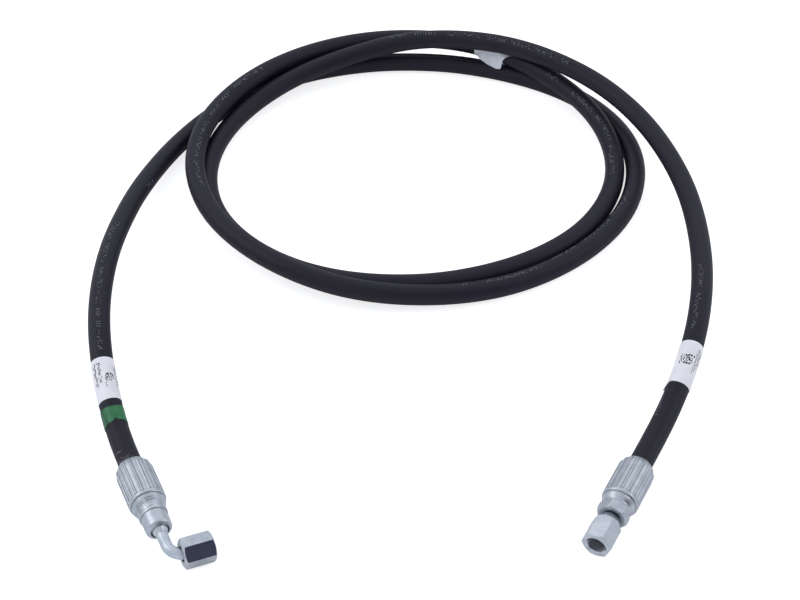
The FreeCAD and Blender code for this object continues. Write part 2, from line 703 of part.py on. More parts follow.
def elbow_nut():
    """Hexagon over its full length, mouth at the far end."""
    label = "elbow_nut"
    roll = Placement(Vector(0, 0, 0), Rotation(X_AXIS, ELBOW_NUT_ROLL))
    body = new_body(label, CORNER_FRAME.multiply(roll))
    start = size.elbow_nut_start
    end = size.elbow_nut_end
    hex_pad(body, label + "_hex", size.nut_flats, start, end)
    chamfer_mouth(body, label, end)
    chamfer(body, label + "_chamfer_rear", start - size.cham_overrun,
            start + size.nut_cham_len, size.nut_cham_dia)
    rear = size.elbow_nut_rear_dia / 2
    nut_bore(body, label, [
        (start - size.bore_overrun, 0.0),
        (start - size.bore_overrun, rear + size.rear_sink_rise),
        (start + size.rear_sink_len, rear),
    ], rear, size.elbow_nut_shoulder, size.elbow_nut_relief_end, end)
    thread(body, label, size.elbow_thread_start, 4)
    return body


def straight_nut():
    """Round neck, then the hexagon, mouth at the far end."""
    label = "straight_nut"
    body = new_body(label, straight_frame(STRAIGHT_NUT_ROLL))
    start = size.straight_nut_start
    hex_start = size.straight_nut_hex
    end = size.straight_nut_end
    neck_end = hex_start + size.nut_neck_overlap
    rear = size.straight_nut_rear_dia / 2
    revolve(body, label + "_neck", [
        (start, rear),
        (start, size.nut_neck_back_dia / 2),
        (start + size.nut_neck_round_len, size.nut_neck_mid_dia / 2, (start + 0.45, 5.9)),
        (neck_end, size.nut_neck_dia / 2, (49.9, 6.95)),
        (neck_end, rear),
    ])
    hex_pad(body, label + "_hex", size.nut_flats, hex_start, end)
    chamfer(body, label + "_chamfer_rear", hex_start - size.cham_overrun,
            hex_start + size.nut_neck_cham_len, size.nut_neck_dia)
    chamfer_mouth(body, label, end)
    nut_bore(body, label, [
        (start - size.bore_overrun, 0.0),
        (start - size.bore_overrun, rear),
    ], rear, size.straight_nut_shoulder, size.straight_nut_relief_end, end)
    thread(body, label, size.straight_thread_start, 7)
    return body


# ---------------------------------------------------------------- build, check, write
pieces = [hose_layer(*layer) for layer in HOSE_LAYERS]
pieces += [band(*row) for row in BANDS]
pieces += [
    ferrule("elbow_ferrule", elbow_frame(ELBOW_FERRULE_ROLL)),
    ferrule("straight_ferrule", straight_frame(STRAIGHT_FERRULE_ROLL)),
    elbow_stem(),
    straight_stem(),
    elbow_tube(),
    elbow_braze_ring(),
    elbow_flare_sleeve(),
    elbow_nut(),
    straight_nut(),
]

doc.recompute()
doc.recompute()
for item in doc.Objects:
    if "Invalid" in item.State or "Error" in item.State:
        raise RuntimeError("object in error: " + item.Name)
for piece in pieces:
    if piece.Shape.isNull() or not piece.Shape.isValid():
        raise RuntimeError("bad shape: " + piece.Label)
    if len(piece.Shape.Solids) != 1:
        raise RuntimeError("not one solid: %s has %d" % (piece.Label, len(piece.Shape.Solids)))
    piece.Shape.exportStep("parts/%s.step" % piece.Label)
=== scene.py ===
"""A rubber hose with a crimped metal fitting at each end, lying in loops on a white floor.

The loops lie near the XY plane, +Z up. Both ends point to -Y: the elbow fitting is on the
-X side, the straight fitting on the +X side. Lengths are in mm in the frame of the product
and become metres when meshes are made; lights are placed in metres.
Along the hose, a station is the distance from the mouth of the elbow ferrule.
"""
import bpy
import math
import random
import numpy as np
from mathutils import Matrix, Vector


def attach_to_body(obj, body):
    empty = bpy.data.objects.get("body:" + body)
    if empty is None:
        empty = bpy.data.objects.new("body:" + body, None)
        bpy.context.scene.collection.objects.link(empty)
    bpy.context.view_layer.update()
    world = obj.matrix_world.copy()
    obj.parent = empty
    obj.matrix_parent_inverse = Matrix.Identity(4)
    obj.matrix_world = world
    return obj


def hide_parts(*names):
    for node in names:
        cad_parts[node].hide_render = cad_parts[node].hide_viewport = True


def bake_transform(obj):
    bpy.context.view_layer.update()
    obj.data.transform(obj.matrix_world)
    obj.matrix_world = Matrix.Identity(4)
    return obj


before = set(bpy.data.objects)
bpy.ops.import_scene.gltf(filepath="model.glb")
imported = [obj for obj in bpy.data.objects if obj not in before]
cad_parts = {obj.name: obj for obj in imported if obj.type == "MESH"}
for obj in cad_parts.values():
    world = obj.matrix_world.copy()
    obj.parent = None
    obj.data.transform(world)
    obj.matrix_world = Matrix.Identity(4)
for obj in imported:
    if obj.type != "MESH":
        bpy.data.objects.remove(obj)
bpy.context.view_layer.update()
MM = 0.001
UP = np.array((0.0, 0.0, 1.0))

# ------------------------------------------------------------------ driving sizes
HOSE_IN = 30.5         # length of hose inside each ferrule
COVER_RADIUS = 6.70
BRAID_RADIUS = 5.40
TUBE_RADIUS = 4.70
BORE_RADIUS = 3.20
TAIL = 210.0           # stations this near an end belong to a tail
BEND_START = 185.0     # distances from a tail's end; the tail is not bent between them
BEND_END = 95.0

# bottom and top radius of the thin marks laid on the hose and on the labels
LAYLINE_SKIN = (6.66, 6.725)
LABEL_SKIN = (6.96, 7.015)
SPECK_SKIN = (6.66, 6.71)
FILM_SKIN = (6.66, 6.712)


def fitting(mouth, axis):
    """Ferrule mouth, axis pointing away from the hose, and the level direction left of it."""
    axis = np.array(axis)
    axis = axis / np.linalg.norm(axis)
    return np.array(mouth), axis, np.array((-axis[1], axis[0], 0.0))


FITTINGS = {
    "elbow": fitting(mouth=(-155.4544, -182.2927, 10.55), axis=(0.421719, -0.906727, 0.0)),
    "straight": fitting(mouth=(131.5935, -182.1803, 10.55), axis=(-0.466845, -0.884339, 0.0)),
}

# Hose centre line between the two ferrule mouths: x, y, z
CENTRE_LINE = [
    (-163.44, -164.05, 11.36), (-170.27, -145.57, 14.53), (-176.08, -126.98, 18.85),
    (-180.87, -108.07, 23.06), (-184.52, -88.71, 26.19), (-186.96, -68.98, 27.80),
    (-188.29, -49.07, 27.93), (-188.78, -29.15, 26.86), (-188.44, -9.30, 24.89),
    (-187.27, 10.45, 22.28), (-185.40, 30.11, 19.41), (-182.84, 49.69, 16.53),
    (-179.18, 69.11, 13.73), (-174.35, 88.31, 11.27), (-168.28, 107.22, 9.36),
    (-160.72, 125.63, 7.99), (-151.56, 143.34, 7.17), (-140.76, 160.10, 6.80),
    (-128.29, 175.67, 6.72), (-114.15, 189.74, 6.72), (-98.39, 201.97, 6.72),
    (-81.21, 212.10, 6.72), (-62.91, 220.02, 6.72), (-43.82, 225.83, 6.73),
    (-24.23, 229.57, 6.76), (-4.35, 231.21, 6.73), (15.59, 230.80, 6.75),
    (35.39, 228.38, 6.84), (54.82, 223.84, 6.78), (73.69, 217.37, 6.72),
    (91.80, 209.02, 6.72), (108.83, 198.64, 6.75), (124.28, 186.04, 6.80),
    (137.61, 171.21, 6.75), (148.41, 154.45, 6.72), (156.27, 136.14, 6.76),
    (160.59, 116.69, 6.83), (161.14, 96.76, 6.82), (158.28, 77.03, 6.76),
    (152.47, 57.96, 6.72), (143.84, 39.99, 6.73), (132.69, 23.45, 6.75),
    (119.50, 8.49, 6.74), (104.57, -4.73, 6.72), (88.14, -16.05, 6.72),
    (70.50, -25.34, 6.80), (51.85, -32.40, 7.25), (32.51, -37.20, 8.12),
    (12.78, -39.86, 9.29), (-7.12, -40.41, 10.58), (-26.93, -38.60, 11.98),
    (-46.31, -34.16, 13.51), (-64.82, -26.92, 15.10), (-82.16, -17.16, 16.39),
    (-98.05, -5.14, 17.32), (-112.14, 8.96, 17.99), (-124.21, 24.83, 18.33),
    (-133.73, 42.35, 18.48), (-140.56, 61.08, 18.50), (-144.83, 80.56, 18.36),
    (-146.24, 100.44, 18.26), (-144.59, 120.31, 18.39), (-139.81, 139.66, 18.79),
    (-132.06, 158.02, 19.42), (-121.81, 175.12, 20.09), (-109.52, 190.82, 20.50),
    (-95.61, 205.12, 20.43), (-80.41, 218.02, 19.83), (-63.94, 229.24, 18.91),
    (-46.19, 238.29, 18.04), (-27.27, 244.54, 17.48), (-7.55, 247.38, 17.33),
    (12.36, 246.60, 17.77), (31.82, 242.41, 18.82), (50.31, 235.04, 19.90),
    (67.58, 225.09, 20.55), (83.68, 213.30, 20.58), (98.72, 200.21, 19.83),
    (112.64, 186.00, 18.31), (125.09, 170.56, 16.26), (135.36, 153.63, 13.92),
    (142.59, 135.22, 11.46), (146.35, 115.77, 9.28), (146.55, 95.90, 7.81),
    (143.12, 76.28, 7.07), (136.38, 57.52, 6.81), (126.94, 39.96, 6.73),
    (114.91, 24.06, 6.72), (100.56, 10.22, 6.74), (84.38, -1.43, 6.75),
    (66.85, -10.95, 6.76), (48.33, -18.36, 6.76), (29.09, -23.62, 6.73),
    (9.36, -26.55, 6.73), (-10.58, -27.05, 6.77), (-30.43, -25.14, 6.76),
    (-49.86, -20.65, 6.73), (-68.42, -13.37, 6.72), (-85.63, -3.31, 6.74),
    (-101.08, 9.30, 6.74), (-114.38, 24.15, 6.73), (-125.05, 40.99, 6.72),
    (-132.59, 59.43, 6.72), (-136.81, 78.91, 6.72), (-137.83, 98.83, 6.72),
    (-135.64, 118.64, 6.84), (-130.26, 137.83, 7.34), (-121.76, 155.83, 8.38),
    (-110.42, 172.15, 9.99), (-96.81, 186.55, 12.13), (-81.36, 198.95, 14.49),
    (-64.48, 209.32, 16.79), (-46.53, 217.71, 19.12), (-27.83, 224.09, 21.82),
    (-8.55, 228.15, 24.87), (11.17, 229.24, 27.59), (30.89, 227.22, 29.75),
    (50.19, 222.56, 31.60), (68.85, 215.64, 33.04), (86.69, 206.75, 33.81),
    (103.60, 196.17, 33.81), (119.46, 184.08, 33.21), (134.08, 170.55, 32.24),
    (147.15, 155.53, 30.95), (158.41, 139.14, 29.44), (167.84, 121.63, 27.95),
    (175.35, 103.20, 26.61), (181.06, 84.11, 25.61), (185.18, 64.59, 25.16),
    (187.68, 44.80, 25.22), (188.70, 24.88, 25.71), (188.53, 4.94, 26.52),
    (187.41, -14.96, 27.49), (185.35, -34.79, 28.31), (182.26, -54.50, 28.61),
    (178.16, -74.02, 27.98), (172.94, -93.18, 26.04), (166.48, -111.75, 22.69),
    (158.91, -129.71, 18.40), (150.36, -147.24, 14.17), (141.04, -164.63, 11.25),
]


# ------------------------------------------------------------------ curves and rings
def lookup(x, table):
    """Linear interpolation in a table of (x, value), held level beyond its ends."""
    return np.interp(x, *zip(*table))


def smooth_step(x):
    x = np.clip(x, 0, 1)
    return x * x * (3 - 2 * x)


def bell(x, centre, width):
    return np.exp(-((x - centre) / width) ** 2)


def around(count):
    """Evenly spaced angles of a full turn, in degrees."""
    return np.arange(count) * 360.0 / count


def ring(centre, radius, degrees, zero_way, quarter_way):
    """Points about a centre; zero_way is the direction of 0 degrees, quarter_way of 90."""
    angles = np.radians(degrees)
    radius = np.broadcast_to(radius, angles.shape)[:, None]
    return centre + radius * (np.cos(angles)[:, None] * zero_way
                              + np.sin(angles)[:, None] * quarter_way)


def fitting_ring(side, distance, radius, degrees):
    """Points about a fitting's axis, a distance from its ferrule mouth; 90 degrees is up."""
    mouth, axis, across = FITTINGS[side]
    return ring(mouth + axis * distance, radius, degrees, across, UP)


class HosePath:
    """Natural cubic spline through the centre line, read by station."""

    def __init__(self):
        start, start_axis, _ = FITTINGS["elbow"]
        end, end_axis, _ = FITTINGS["straight"]
        inside = 5     # points inside each ferrule
        knots = np.array(
            [start + start_axis * HOSE_IN * (1 - i / inside) for i in range(inside)]
            + [start, *CENTRE_LINE, end]
            + [end + end_axis * HOSE_IN * (i + 1) / inside for i in range(inside)])
        chord = np.r_[0, np.cumsum(np.linalg.norm(np.diff(knots, axis=0), axis=1))]
        count, gap = len(knots), np.diff(chord)

        # second derivatives at the knots, zero at both ends
        system, right = np.zeros((count, count)), np.zeros((count, 3))
        system[0, 0] = system[-1, -1] = 1
        for i in range(1, count - 1):
            system[i, i - 1:i + 2] = gap[i - 1], 2 * (gap[i - 1] + gap[i]), gap[i]
            right[i] = 6 * ((knots[i + 1] - knots[i]) / gap[i]
                            - (knots[i] - knots[i - 1]) / gap[i - 1])
        curve = np.linalg.solve(system, right)

        sample = np.linspace(0, chord[-1], 12001)
        j = np.clip(np.searchsorted(chord, sample, side="right") - 1, 0, count - 2)
        ahead, behind = (chord[j + 1] - sample)[:, None], (sample - chord[j])[:, None]
        span = gap[j][:, None]
        self.points = ((curve[j] * ahead**3 + curve[j + 1] * behind**3) / (6 * span)
                       + (knots[j] / span - curve[j] * span / 6) * ahead
                       + (knots[j + 1] / span - curve[j + 1] * span / 6) * behind)
        steps = np.linalg.norm(np.diff(self.points, axis=0), axis=1)
        self.stations = np.r_[0, np.cumsum(steps)] - HOSE_IN
        self.total = self.stations[-1] - HOSE_IN

    def centre(self, station):
        return np.stack([np.interp(station, self.stations, self.points[:, k])
                         for k in range(3)], 1)

    def at(self, station):
        """Centre, up direction and right-hand direction of the run at each station."""
        station = np.atleast_1d(np.asarray(station, float))
        forward = self.centre(station + 1.0) - self.centre(station - 1.0)
        forward /= np.linalg.norm(forward, axis=1)[:, None]
        up = UP - forward[:, 2:3] * forward
        up /= np.linalg.norm(up, axis=1)[:, None]
        return self.centre(station), up, np.cross(forward, up)

    def surface(self, station, degrees, radius):
        """Points at angles from the top, positive to the right of the run."""
        centre, up, right = self.at(station)
        return ring(centre, radius, degrees, up, right)


path = HosePath()
TOTAL = path.total


# ------------------------------------------------------------------ mesh helpers
def add_object(name, data):
    added = bpy.data.objects.new(name, data)
    bpy.context.scene.collection.objects.link(added)
    return added


def new_object(name, verts, faces, material, uv=None, sharp=None):
    """Mesh object. uv has one pair per face corner. Giving sharp (the angle in degrees
    from which edges stay sharp) makes it smooth shaded, otherwise it is flat."""
    mesh = bpy.data.meshes.new(name)
    mesh.from_pydata((np.asarray(verts, float) * MM).tolist(), [], faces)
    if uv is not None:
        layer = mesh.uv_layers.new(name="run")
        layer.data.foreach_set("uv", np.asarray(uv, np.float32).ravel())
    mesh.validate(verbose=False)
    mesh.update()
    mesh.polygons.foreach_set("use_smooth", [sharp is not None] * len(mesh.polygons))
    if sharp is not None:
        mesh.set_sharp_from_angle(angle=math.radians(sharp))
    added = add_object(name, mesh)
    mesh.materials.append(material)
    return added


def ring_faces(rows, columns):
    """Quads joining a loop of closed rings; the last ring joins the first."""
    faces = []
    for i in range(rows):
        here, after = i * columns, (i + 1) % rows * columns
        for j in range(columns):
            j_after = (j + 1) % columns
            faces.append((here + j, here + j_after, after + j_after, after + j))
    return faces


def hose_tube(name, start, end, outer, inner, step, segments, material):
    """A hose layer as a closed wall. UV 'run': u along the hose, v around it, in mm."""
    count = max(2, int(math.ceil((end - start) / step)) + 1)
    stations = np.linspace(start, end, count)
    centre, up, right = path.at(stations)
    degrees = around(segments)
    wall = [(k, outer) for k in range(count)] + [(k, inner) for k in reversed(range(count))]
    rings = [ring(centre[k], radius, degrees, up[k], right[k]) for k, radius in wall]
    runs = [(stations[k], 2 * math.pi * radius) for k, radius in wall]
    uv = []
    for (along, girth), (next_along, next_girth) in zip(runs, runs[1:] + runs[:1]):
        for j in range(segments):
            low, high = j / segments, (j + 1) / segments
            uv += [(next_along, next_girth * low), (next_along, next_girth * high),
                   (along, girth * high), (along, girth * low)]
    faces = [face[::-1] for face in ring_faces(len(rings), segments)]
    return new_object(name, np.reshape(rings, (-1, 3)), faces, material, uv=uv, sharp=50)


def metal_part(name, rings, shade_tones, material, sharp, rides, slot="zinc_steel", replaces=None):
    """Closed wall from a loop of rings, turned to face outwards, with a grey tone per
    vertex in the attribute that the toned metals read. The tone is painted shade,
    darker in grooves, steps, pockets and bores."""
    rings = np.asarray(rings, float)
    faces = ring_faces(*rings.shape[:2])
    verts = rings.reshape(-1, 3)
    local = verts - verts.mean(0)
    volume = sum(float(np.dot(local[a], np.cross(local[b], local[c])
                              + np.cross(local[c], local[d]))) for a, b, c, d in faces)
    if volume < 0:
        faces = [face[::-1] for face in faces]
    part = new_object(name, verts, faces, material, sharp=sharp)

    # the 'tone' attribute holds painted shade, darker in grooves, steps, pockets and bores
    layer = part.data.color_attributes.new(name="tone", type="FLOAT_COLOR", domain="POINT")
    colors = np.ones((len(verts), 4), np.float32)
    colors[:, :3] = np.ravel(shade_tones).astype(np.float32)[:, None]
    layer.data.foreach_set("color", colors.ravel())

    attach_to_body(part, rides)
    if replaces:
        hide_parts(replaces)


def turned(name, side, profile, material, sharp=35, segments=128, **told):
    """A solid of revolution; profile is a closed loop of (distance, radius, tone), the tone
    being painted shade.
    """
    degrees = around(segments)
    rings = [fitting_ring(side, distance, radius, degrees) for distance, radius, _ in profile]
    shade_tones = np.repeat([tone for _, _, tone in profile], segments)
    metal_part(name, rings, shade_tones, material, sharp, **told)


class Plates:
    """Many small closed plates collected into one mesh."""

    def __init__(self):
        self.verts, self.faces = [], []

    def block(self, top, bottom):
        """A plate between two grids of points of the same shape; top is the outer face."""
        top, bottom = np.asarray(top, float), np.asarray(bottom, float)
        rows, columns = top.shape[:2]
        first, under = len(self.verts), rows * columns
        self.verts += list(top.reshape(-1, 3)) + list(bottom.reshape(-1, 3))
        normal = np.cross(top[-1, 0] - top[0, 0], top[0, -1] - top[0, 0])
        order = -1 if np.dot(normal, top[0, 0] - bottom[0, 0]) < 0 else 1

        def face(*corners):
            self.faces.append(tuple(first + corner for corner in corners)[::order])

        for i in range(rows - 1):
            for j in range(columns - 1):
                a = i * columns + j
                b = a + columns
                face(a, b, b + 1, a + 1)
                face(under + a + 1, under + b + 1, under + b, under + a)
        for i in range(rows - 1):
            a, b = i * columns, (i + 1) * columns
            face(under + a, under + b, b, a)
            a, b = a + columns - 1, b + columns - 1
            face(a, b, under + b, under + a)
        for a in range(columns - 1):
            face(a, a + 1, under + a + 1, under + a)
            b = (rows - 1) * columns + a
            face(under + b, under + b + 1, b + 1, b)

    def patch(self, start, end, low, high, skin, skew=0.0, degree_step=9.0):
        """A plate curved over the hose, from angle low to high between the two radii of
        skin. skew moves it along the hose, in mm per degree."""
        rows = max(2, int(math.ceil((end - start) / 2.0)) + 1)
        columns = max(2, int(math.ceil((high - low) / degree_step)) + 1)
        stations, degrees = np.meshgrid(np.linspace(start, end, rows),
                                        np.linspace(low, high, columns), indexing="ij")
        stations = stations + skew * (degrees - 0.5 * (low + high))
        bottom, top = [path.surface(stations.ravel(), degrees.ravel(), radius)
                       .reshape(rows, columns, 3) for radius in skin]
        self.block(top, bottom)

    def make(self, name, material, sharp=None):
        return new_object(name, self.verts, self.faces, material, sharp=sharp)


# ------------------------------------------------------------------ materials
def scaled(color, factor):
    return tuple(factor * channel for channel in color)


class Material:
    """A Principled material with short helpers that return output sockets.
    Inputs can be given a socket, a number or an RGB tuple."""

    INPUTS = {"color": "Base Color", "metallic": "Metallic", "rough": "Roughness",
              "specular": "Specular IOR Level", "normal": "Normal",
              "glow": "Emission Strength", "glow_color": "Emission Color"}

    def __init__(self, name):
        self.material = bpy.data.materials.new(name)
        self.material.use_nodes = True
        self.tree = self.material.node_tree
        self.shader = self.tree.nodes["Principled BSDF"]

    def node(self, kind, **properties):
        made = self.tree.nodes.new(kind)
        for key, value in properties.items():
            setattr(made, key, value)
        return made

    def feed(self, socket, value):
        if isinstance(value, (int, float)):
            socket.default_value = value
        elif isinstance(value, tuple):
            socket.default_value = value + (1,)
        else:
            self.tree.links.new(value, socket)

    def mapped(self, source, scale):
        mapping = self.node("ShaderNodeMapping")
        mapping.inputs["Scale"].default_value = scale
        self.feed(mapping.inputs["Vector"], source)
        return mapping.outputs["Vector"]

    def run_coords(self, scale=(1, 1, 1)):
        """The 'run' UV in mm."""
        return self.mapped(self.node("ShaderNodeUVMap", uv_map="run").outputs["UV"], scale)

    def object_coords(self):
        """Object coordinates in mm."""
        source = self.node("ShaderNodeTexCoord").outputs["Object"]
        return self.mapped(source, (1 / MM,) * 3)

    def noise(self, vector, scale, detail, rough):
        made = self.node("ShaderNodeTexNoise")
        self.feed(made.inputs["Scale"], scale)
        self.feed(made.inputs["Detail"], detail)
        self.feed(made.inputs["Roughness"], rough)
        self.feed(made.inputs["Vector"], vector)
        return made.outputs["Fac"]

    def ramp(self, value, stops):
        """Colour ramp from (position, RGB) stops."""
        made = self.node("ShaderNodeValToRGB")
        elements = made.color_ramp.elements
        while len(elements) < len(stops):
            elements.new(0.5)
        for element, (position, color) in zip(elements, stops):
            element.position = position
            element.color = color + (1,)
        self.feed(made.inputs["Fac"], value)
        return made.outputs["Color"]

    def remap(self, value, span, to):
        made = self.node("ShaderNodeMapRange")
        for key, number in zip(("From Min", "From Max", "To Min", "To Max"), span + to):
            made.inputs[key].default_value = number
        self.feed(made.inputs["Value"], value)
        return made.outputs["Result"]

    def mix(self, factor, first, second, blend="MIX"):
        made = self.node("ShaderNodeMix", data_type="RGBA", blend_type=blend)
        # inputs 6 and 7 and output 2 are the colour sockets
        for index, value in ((0, factor), (6, first), (7, second)):
            self.feed(made.inputs[index], value)
        return made.outputs[2]

    def mottle(self, noise, first, second):
        """Two colours shared out by a noise."""
        return self.mix(self.remap(noise, span=(0.35, 0.65), to=(0.0, 1.0)), first, second)

    def math(self, operation, *values):
        made = self.node("ShaderNodeMath", operation=operation)
        for socket, value in zip(made.inputs, values):
            self.feed(socket, value)
        return made.outputs[0]

    def weighted(self, first, first_weight, second, second_weight):
        return self.math("ADD", self.math("MULTIPLY", first, first_weight),
                         self.math("MULTIPLY", second, second_weight))

    def bump(self, height, strength, depth, normal=None):
        """Bump with its depth in mm, over another normal if given."""
        made = self.node("ShaderNodeBump")
        made.inputs["Strength"].default_value = strength
        made.inputs["Distance"].default_value = depth * MM
        self.feed(made.inputs["Height"], height)
        if normal is not None:
            self.feed(made.inputs["Normal"], normal)
        return made.outputs["Normal"]

    def set(self, **values):
        for key, value in values.items():
            self.feed(self.shader.inputs[self.INPUTS[key]], value)
        return self.material


def make_rubber(name):
    """Near-black rubber with streaks along the run and a little dust."""
    mat = Material(name)
    run = mat.run_coords((0.012, 0.55, 1))
    place = mat.object_coords()
    streak = mat.noise(run, scale=1.0, detail=3.0, rough=0.6)
    cloud = mat.noise(place, scale=0.018, detail=3.0, rough=0.55)
    grain = mat.noise(place, scale=2.6, detail=3.0, rough=0.6)
    color = mat.ramp(mat.weighted(streak, 0.45, cloud, 0.55),
                     stops=[(0.30, (0.0062, 0.0046, 0.0125)),
                            (0.52, (0.0096, 0.0074, 0.0190)),
                            (0.72, (0.0155, 0.0128, 0.0275))])
    dust = mat.remap(mat.noise(place, scale=0.9, detail=4.0, rough=0.7),
                     span=(0.60, 0.80), to=(0.0, 0.10))
    color = mat.mix(dust, color, (0.075, 0.072, 0.085))
    rough = mat.remap(mat.weighted(grain, 0.5, cloud, 0.5), span=(0.3, 0.7), to=(0.44, 0.60))
    normal = mat.bump(grain, strength=0.30, depth=0.10)
    normal = mat.bump(streak, strength=0.25, depth=0.20, normal=normal)
    return mat.set(color=color, rough=rough, specular=0.36, normal=normal)


def make_zinc(name, tone=1.0, rough=(0.26, 0.40), grain=0.20, vertex_shaded=False,
              painted_shade_span=(0.10, 0.75), painted_shade_tone=0.36):
    """Plated steel. tone scales the colour, rough is the roughness range, grain the bump
    strength. The colour carries painted shade: it darkens in crevices and hollows to
    painted_shade_tone over the occlusion range crevice. toned metals are multiplied by the
    vertex attribute 'tone', which holds more painted shade."""
    mat = Material(name)
    place = mat.object_coords()
    cloud = mat.noise(place, scale=0.16, detail=3.0, rough=0.6)
    fine = mat.noise(place, scale=1.5, detail=4.0, rough=0.65)
    color = mat.ramp(cloud, stops=[(0.25, scaled((0.50, 0.545, 0.60), tone)),
                                   (0.55, scaled((0.62, 0.665, 0.72), tone)),
                                   (0.80, scaled((0.72, 0.755, 0.80), tone))])
    spots = mat.remap(mat.noise(place, scale=0.8, detail=5.0, rough=0.7),
                      span=(0.62, 0.78), to=(0.0, 0.35))
    color = mat.mix(spots, color, scaled((0.36, 0.39, 0.45), tone))
    roughness = mat.remap(fine, span=(0.3, 0.7), to=rough)
    bevel = mat.node("ShaderNodeBevel", samples=4)
    bevel.inputs["Radius"].default_value = 0.35 * MM
    normal = mat.bump(fine, strength=grain, depth=0.12, normal=bevel.outputs["Normal"])
    # painted shade: ambient occlusion darkens the colour in crevices and hollows
    occlusion = mat.node("ShaderNodeAmbientOcclusion", samples=6)
    occlusion.inputs["Distance"].default_value = 6.0 * MM
    shade = mat.remap(occlusion.outputs["AO"], span=painted_shade_span, to=(painted_shade_tone, 1.0))
    color = mat.mix(1.0, color, shade, blend="MULTIPLY")
    if vertex_shaded:
        # painted shade from the per-vertex tone
        vertex_shade = mat.node("ShaderNodeVertexColor", layer_name="tone")
        color = mat.mix(1.0, color, vertex_shade.outputs["Color"], blend="MULTIPLY")
    return mat.set(color=color, metallic=1.0, rough=roughness, normal=normal)


def make_label(name, base, glow):
    """Pale film with a faint glow of painted light: it emits a little so it reads brighter
    than its lighting makes it.
    """
    mat = Material(name)
    place = mat.object_coords()
    fibre = mat.noise(place, scale=1.1, detail=4.0, rough=0.6)
    soft = mat.noise(place, scale=0.10, detail=2.0, rough=0.5)
    color = mat.mottle(soft, scaled(base, 0.90), base)
    flecks = mat.remap(fibre, span=(0.60, 0.80), to=(0.0, 0.25))
    color = mat.mix(flecks, color, scaled(base, 0.72))
    rough = mat.remap(fibre, span=(0.3, 0.7), to=(0.36, 0.52))
    return mat.set(color=color, rough=rough, specular=0.45,
                   normal=mat.bump(fibre, strength=0.12, depth=0.05),
                   glow_color=(0.93, 0.93, 1.0), glow=glow)


def make_print(name, dark, light, metallic=0.0, rough=0.55):
    """Thin mottled layer: ink, pressed marks, scuffs."""
    mat = Material(name)
    noise = mat.noise(mat.object_coords(), scale=1.7, detail=4.0, rough=0.7)
    color = mat.mottle(noise, dark, light)
    return mat.set(color=color, rough=rough, specular=0.35, metallic=metallic,
                   normal=mat.bump(noise, strength=0.1, depth=0.02))


def make_tape(name, dark, light):
    mat = Material(name)
    place = mat.object_coords()
    cloud = mat.noise(place, scale=0.25, detail=3.0, rough=0.6)
    fine = mat.noise(place, scale=2.2, detail=3.0, rough=0.6)
    color = mat.mottle(cloud, dark, light)
    return mat.set(color=color, specular=0.45,
                   rough=mat.remap(fine, span=(0.3, 0.7), to=(0.30, 0.46)),
                   normal=mat.bump(fine, strength=0.12, depth=0.05))


def make_wire(name):
    """Brassy braid: two crossing sets of sine ridges, with painted shade darkening the valleys
    between the wires.
    """
    mat = Material(name)
    split = mat.node("ShaderNodeSeparateXYZ")
    mat.feed(split.inputs[0], mat.run_coords())
    along, girth = split.outputs[0], split.outputs[1]
    slope = math.tan(math.radians(54))      # braid angle
    wires_per_mm = 9.0                      # phase of the ridges, radians per mm

    def ridges(operation):
        slanted = mat.math(operation, mat.math("MULTIPLY", along, slope), girth)
        return mat.math("SINE", mat.math("MULTIPLY", slanted, wires_per_mm))

    crossing = mat.math("MAXIMUM", ridges("ADD"), ridges("SUBTRACT"))
    height = mat.remap(crossing, span=(-0.4, 1.0), to=(0.0, 1.0))
    # painted shade: the wire colour goes dark in the valleys between the ridges
    color = mat.mix(height, (0.10, 0.085, 0.05), (0.66, 0.58, 0.42))
    return mat.set(color=color, metallic=1.0, rough=0.38,
                   normal=mat.bump(height, strength=0.6, depth=0.12))


RUBBER = make_rubber("hose_rubber")
INNER_RUBBER = make_rubber("tube_rubber")
WIRE = make_wire("braid_wire")
ZINC = make_zinc("zinc_bright")
ZINC_FERRULE = make_zinc("zinc_ferrule", tone=0.98, rough=(0.32, 0.48), grain=0.25, vertex_shaded=True)
ZINC_STEM = make_zinc("zinc_stem", rough=(0.34, 0.46), grain=0.12, vertex_shaded=True)
ZINC_TUBE = make_zinc("zinc_tube", tone=1.14, rough=(0.42, 0.52), grain=0.06)
# crevice and painted_shade_tone set how strong the painted shade in the hollows of the neck
# and nut is
ZINC_NECK = make_zinc("zinc_neck", tone=1.12, rough=(0.26, 0.36), grain=0.05, vertex_shaded=True,
                      painted_shade_span=(0.0, 0.45), painted_shade_tone=0.6)
ZINC_NUT = make_zinc("zinc_nut", rough=(0.16, 0.24), grain=0.02,
                     painted_shade_span=(0.22, 0.80), painted_shade_tone=0.13)
BRAZE = make_zinc("braze_fillet", tone=1.12, rough=(0.22, 0.34), grain=0.10, vertex_shaded=True)
# glow on the labels is painted light: the films emit a little light of their own
LABEL = make_label("label_film", base=(0.93, 0.92, 0.98), glow=0.11)
LABEL_MIDDLE = make_label("label_film_loose", base=(0.78, 0.82, 0.88), glow=0.05)
INK = make_print("label_ink", dark=(0.022, 0.020, 0.030), light=(0.045, 0.042, 0.055))
LAYLINE_INK = make_print("layline_ink", dark=(0.10, 0.10, 0.125), light=(0.23, 0.23, 0.27))
GREEN = make_tape("green_tape", dark=(0.020, 0.175, 0.062), light=(0.034, 0.225, 0.085))
GREEN_LAP = make_tape("green_tape_overlap",
                      dark=(0.012, 0.100, 0.040), light=(0.018, 0.130, 0.052))
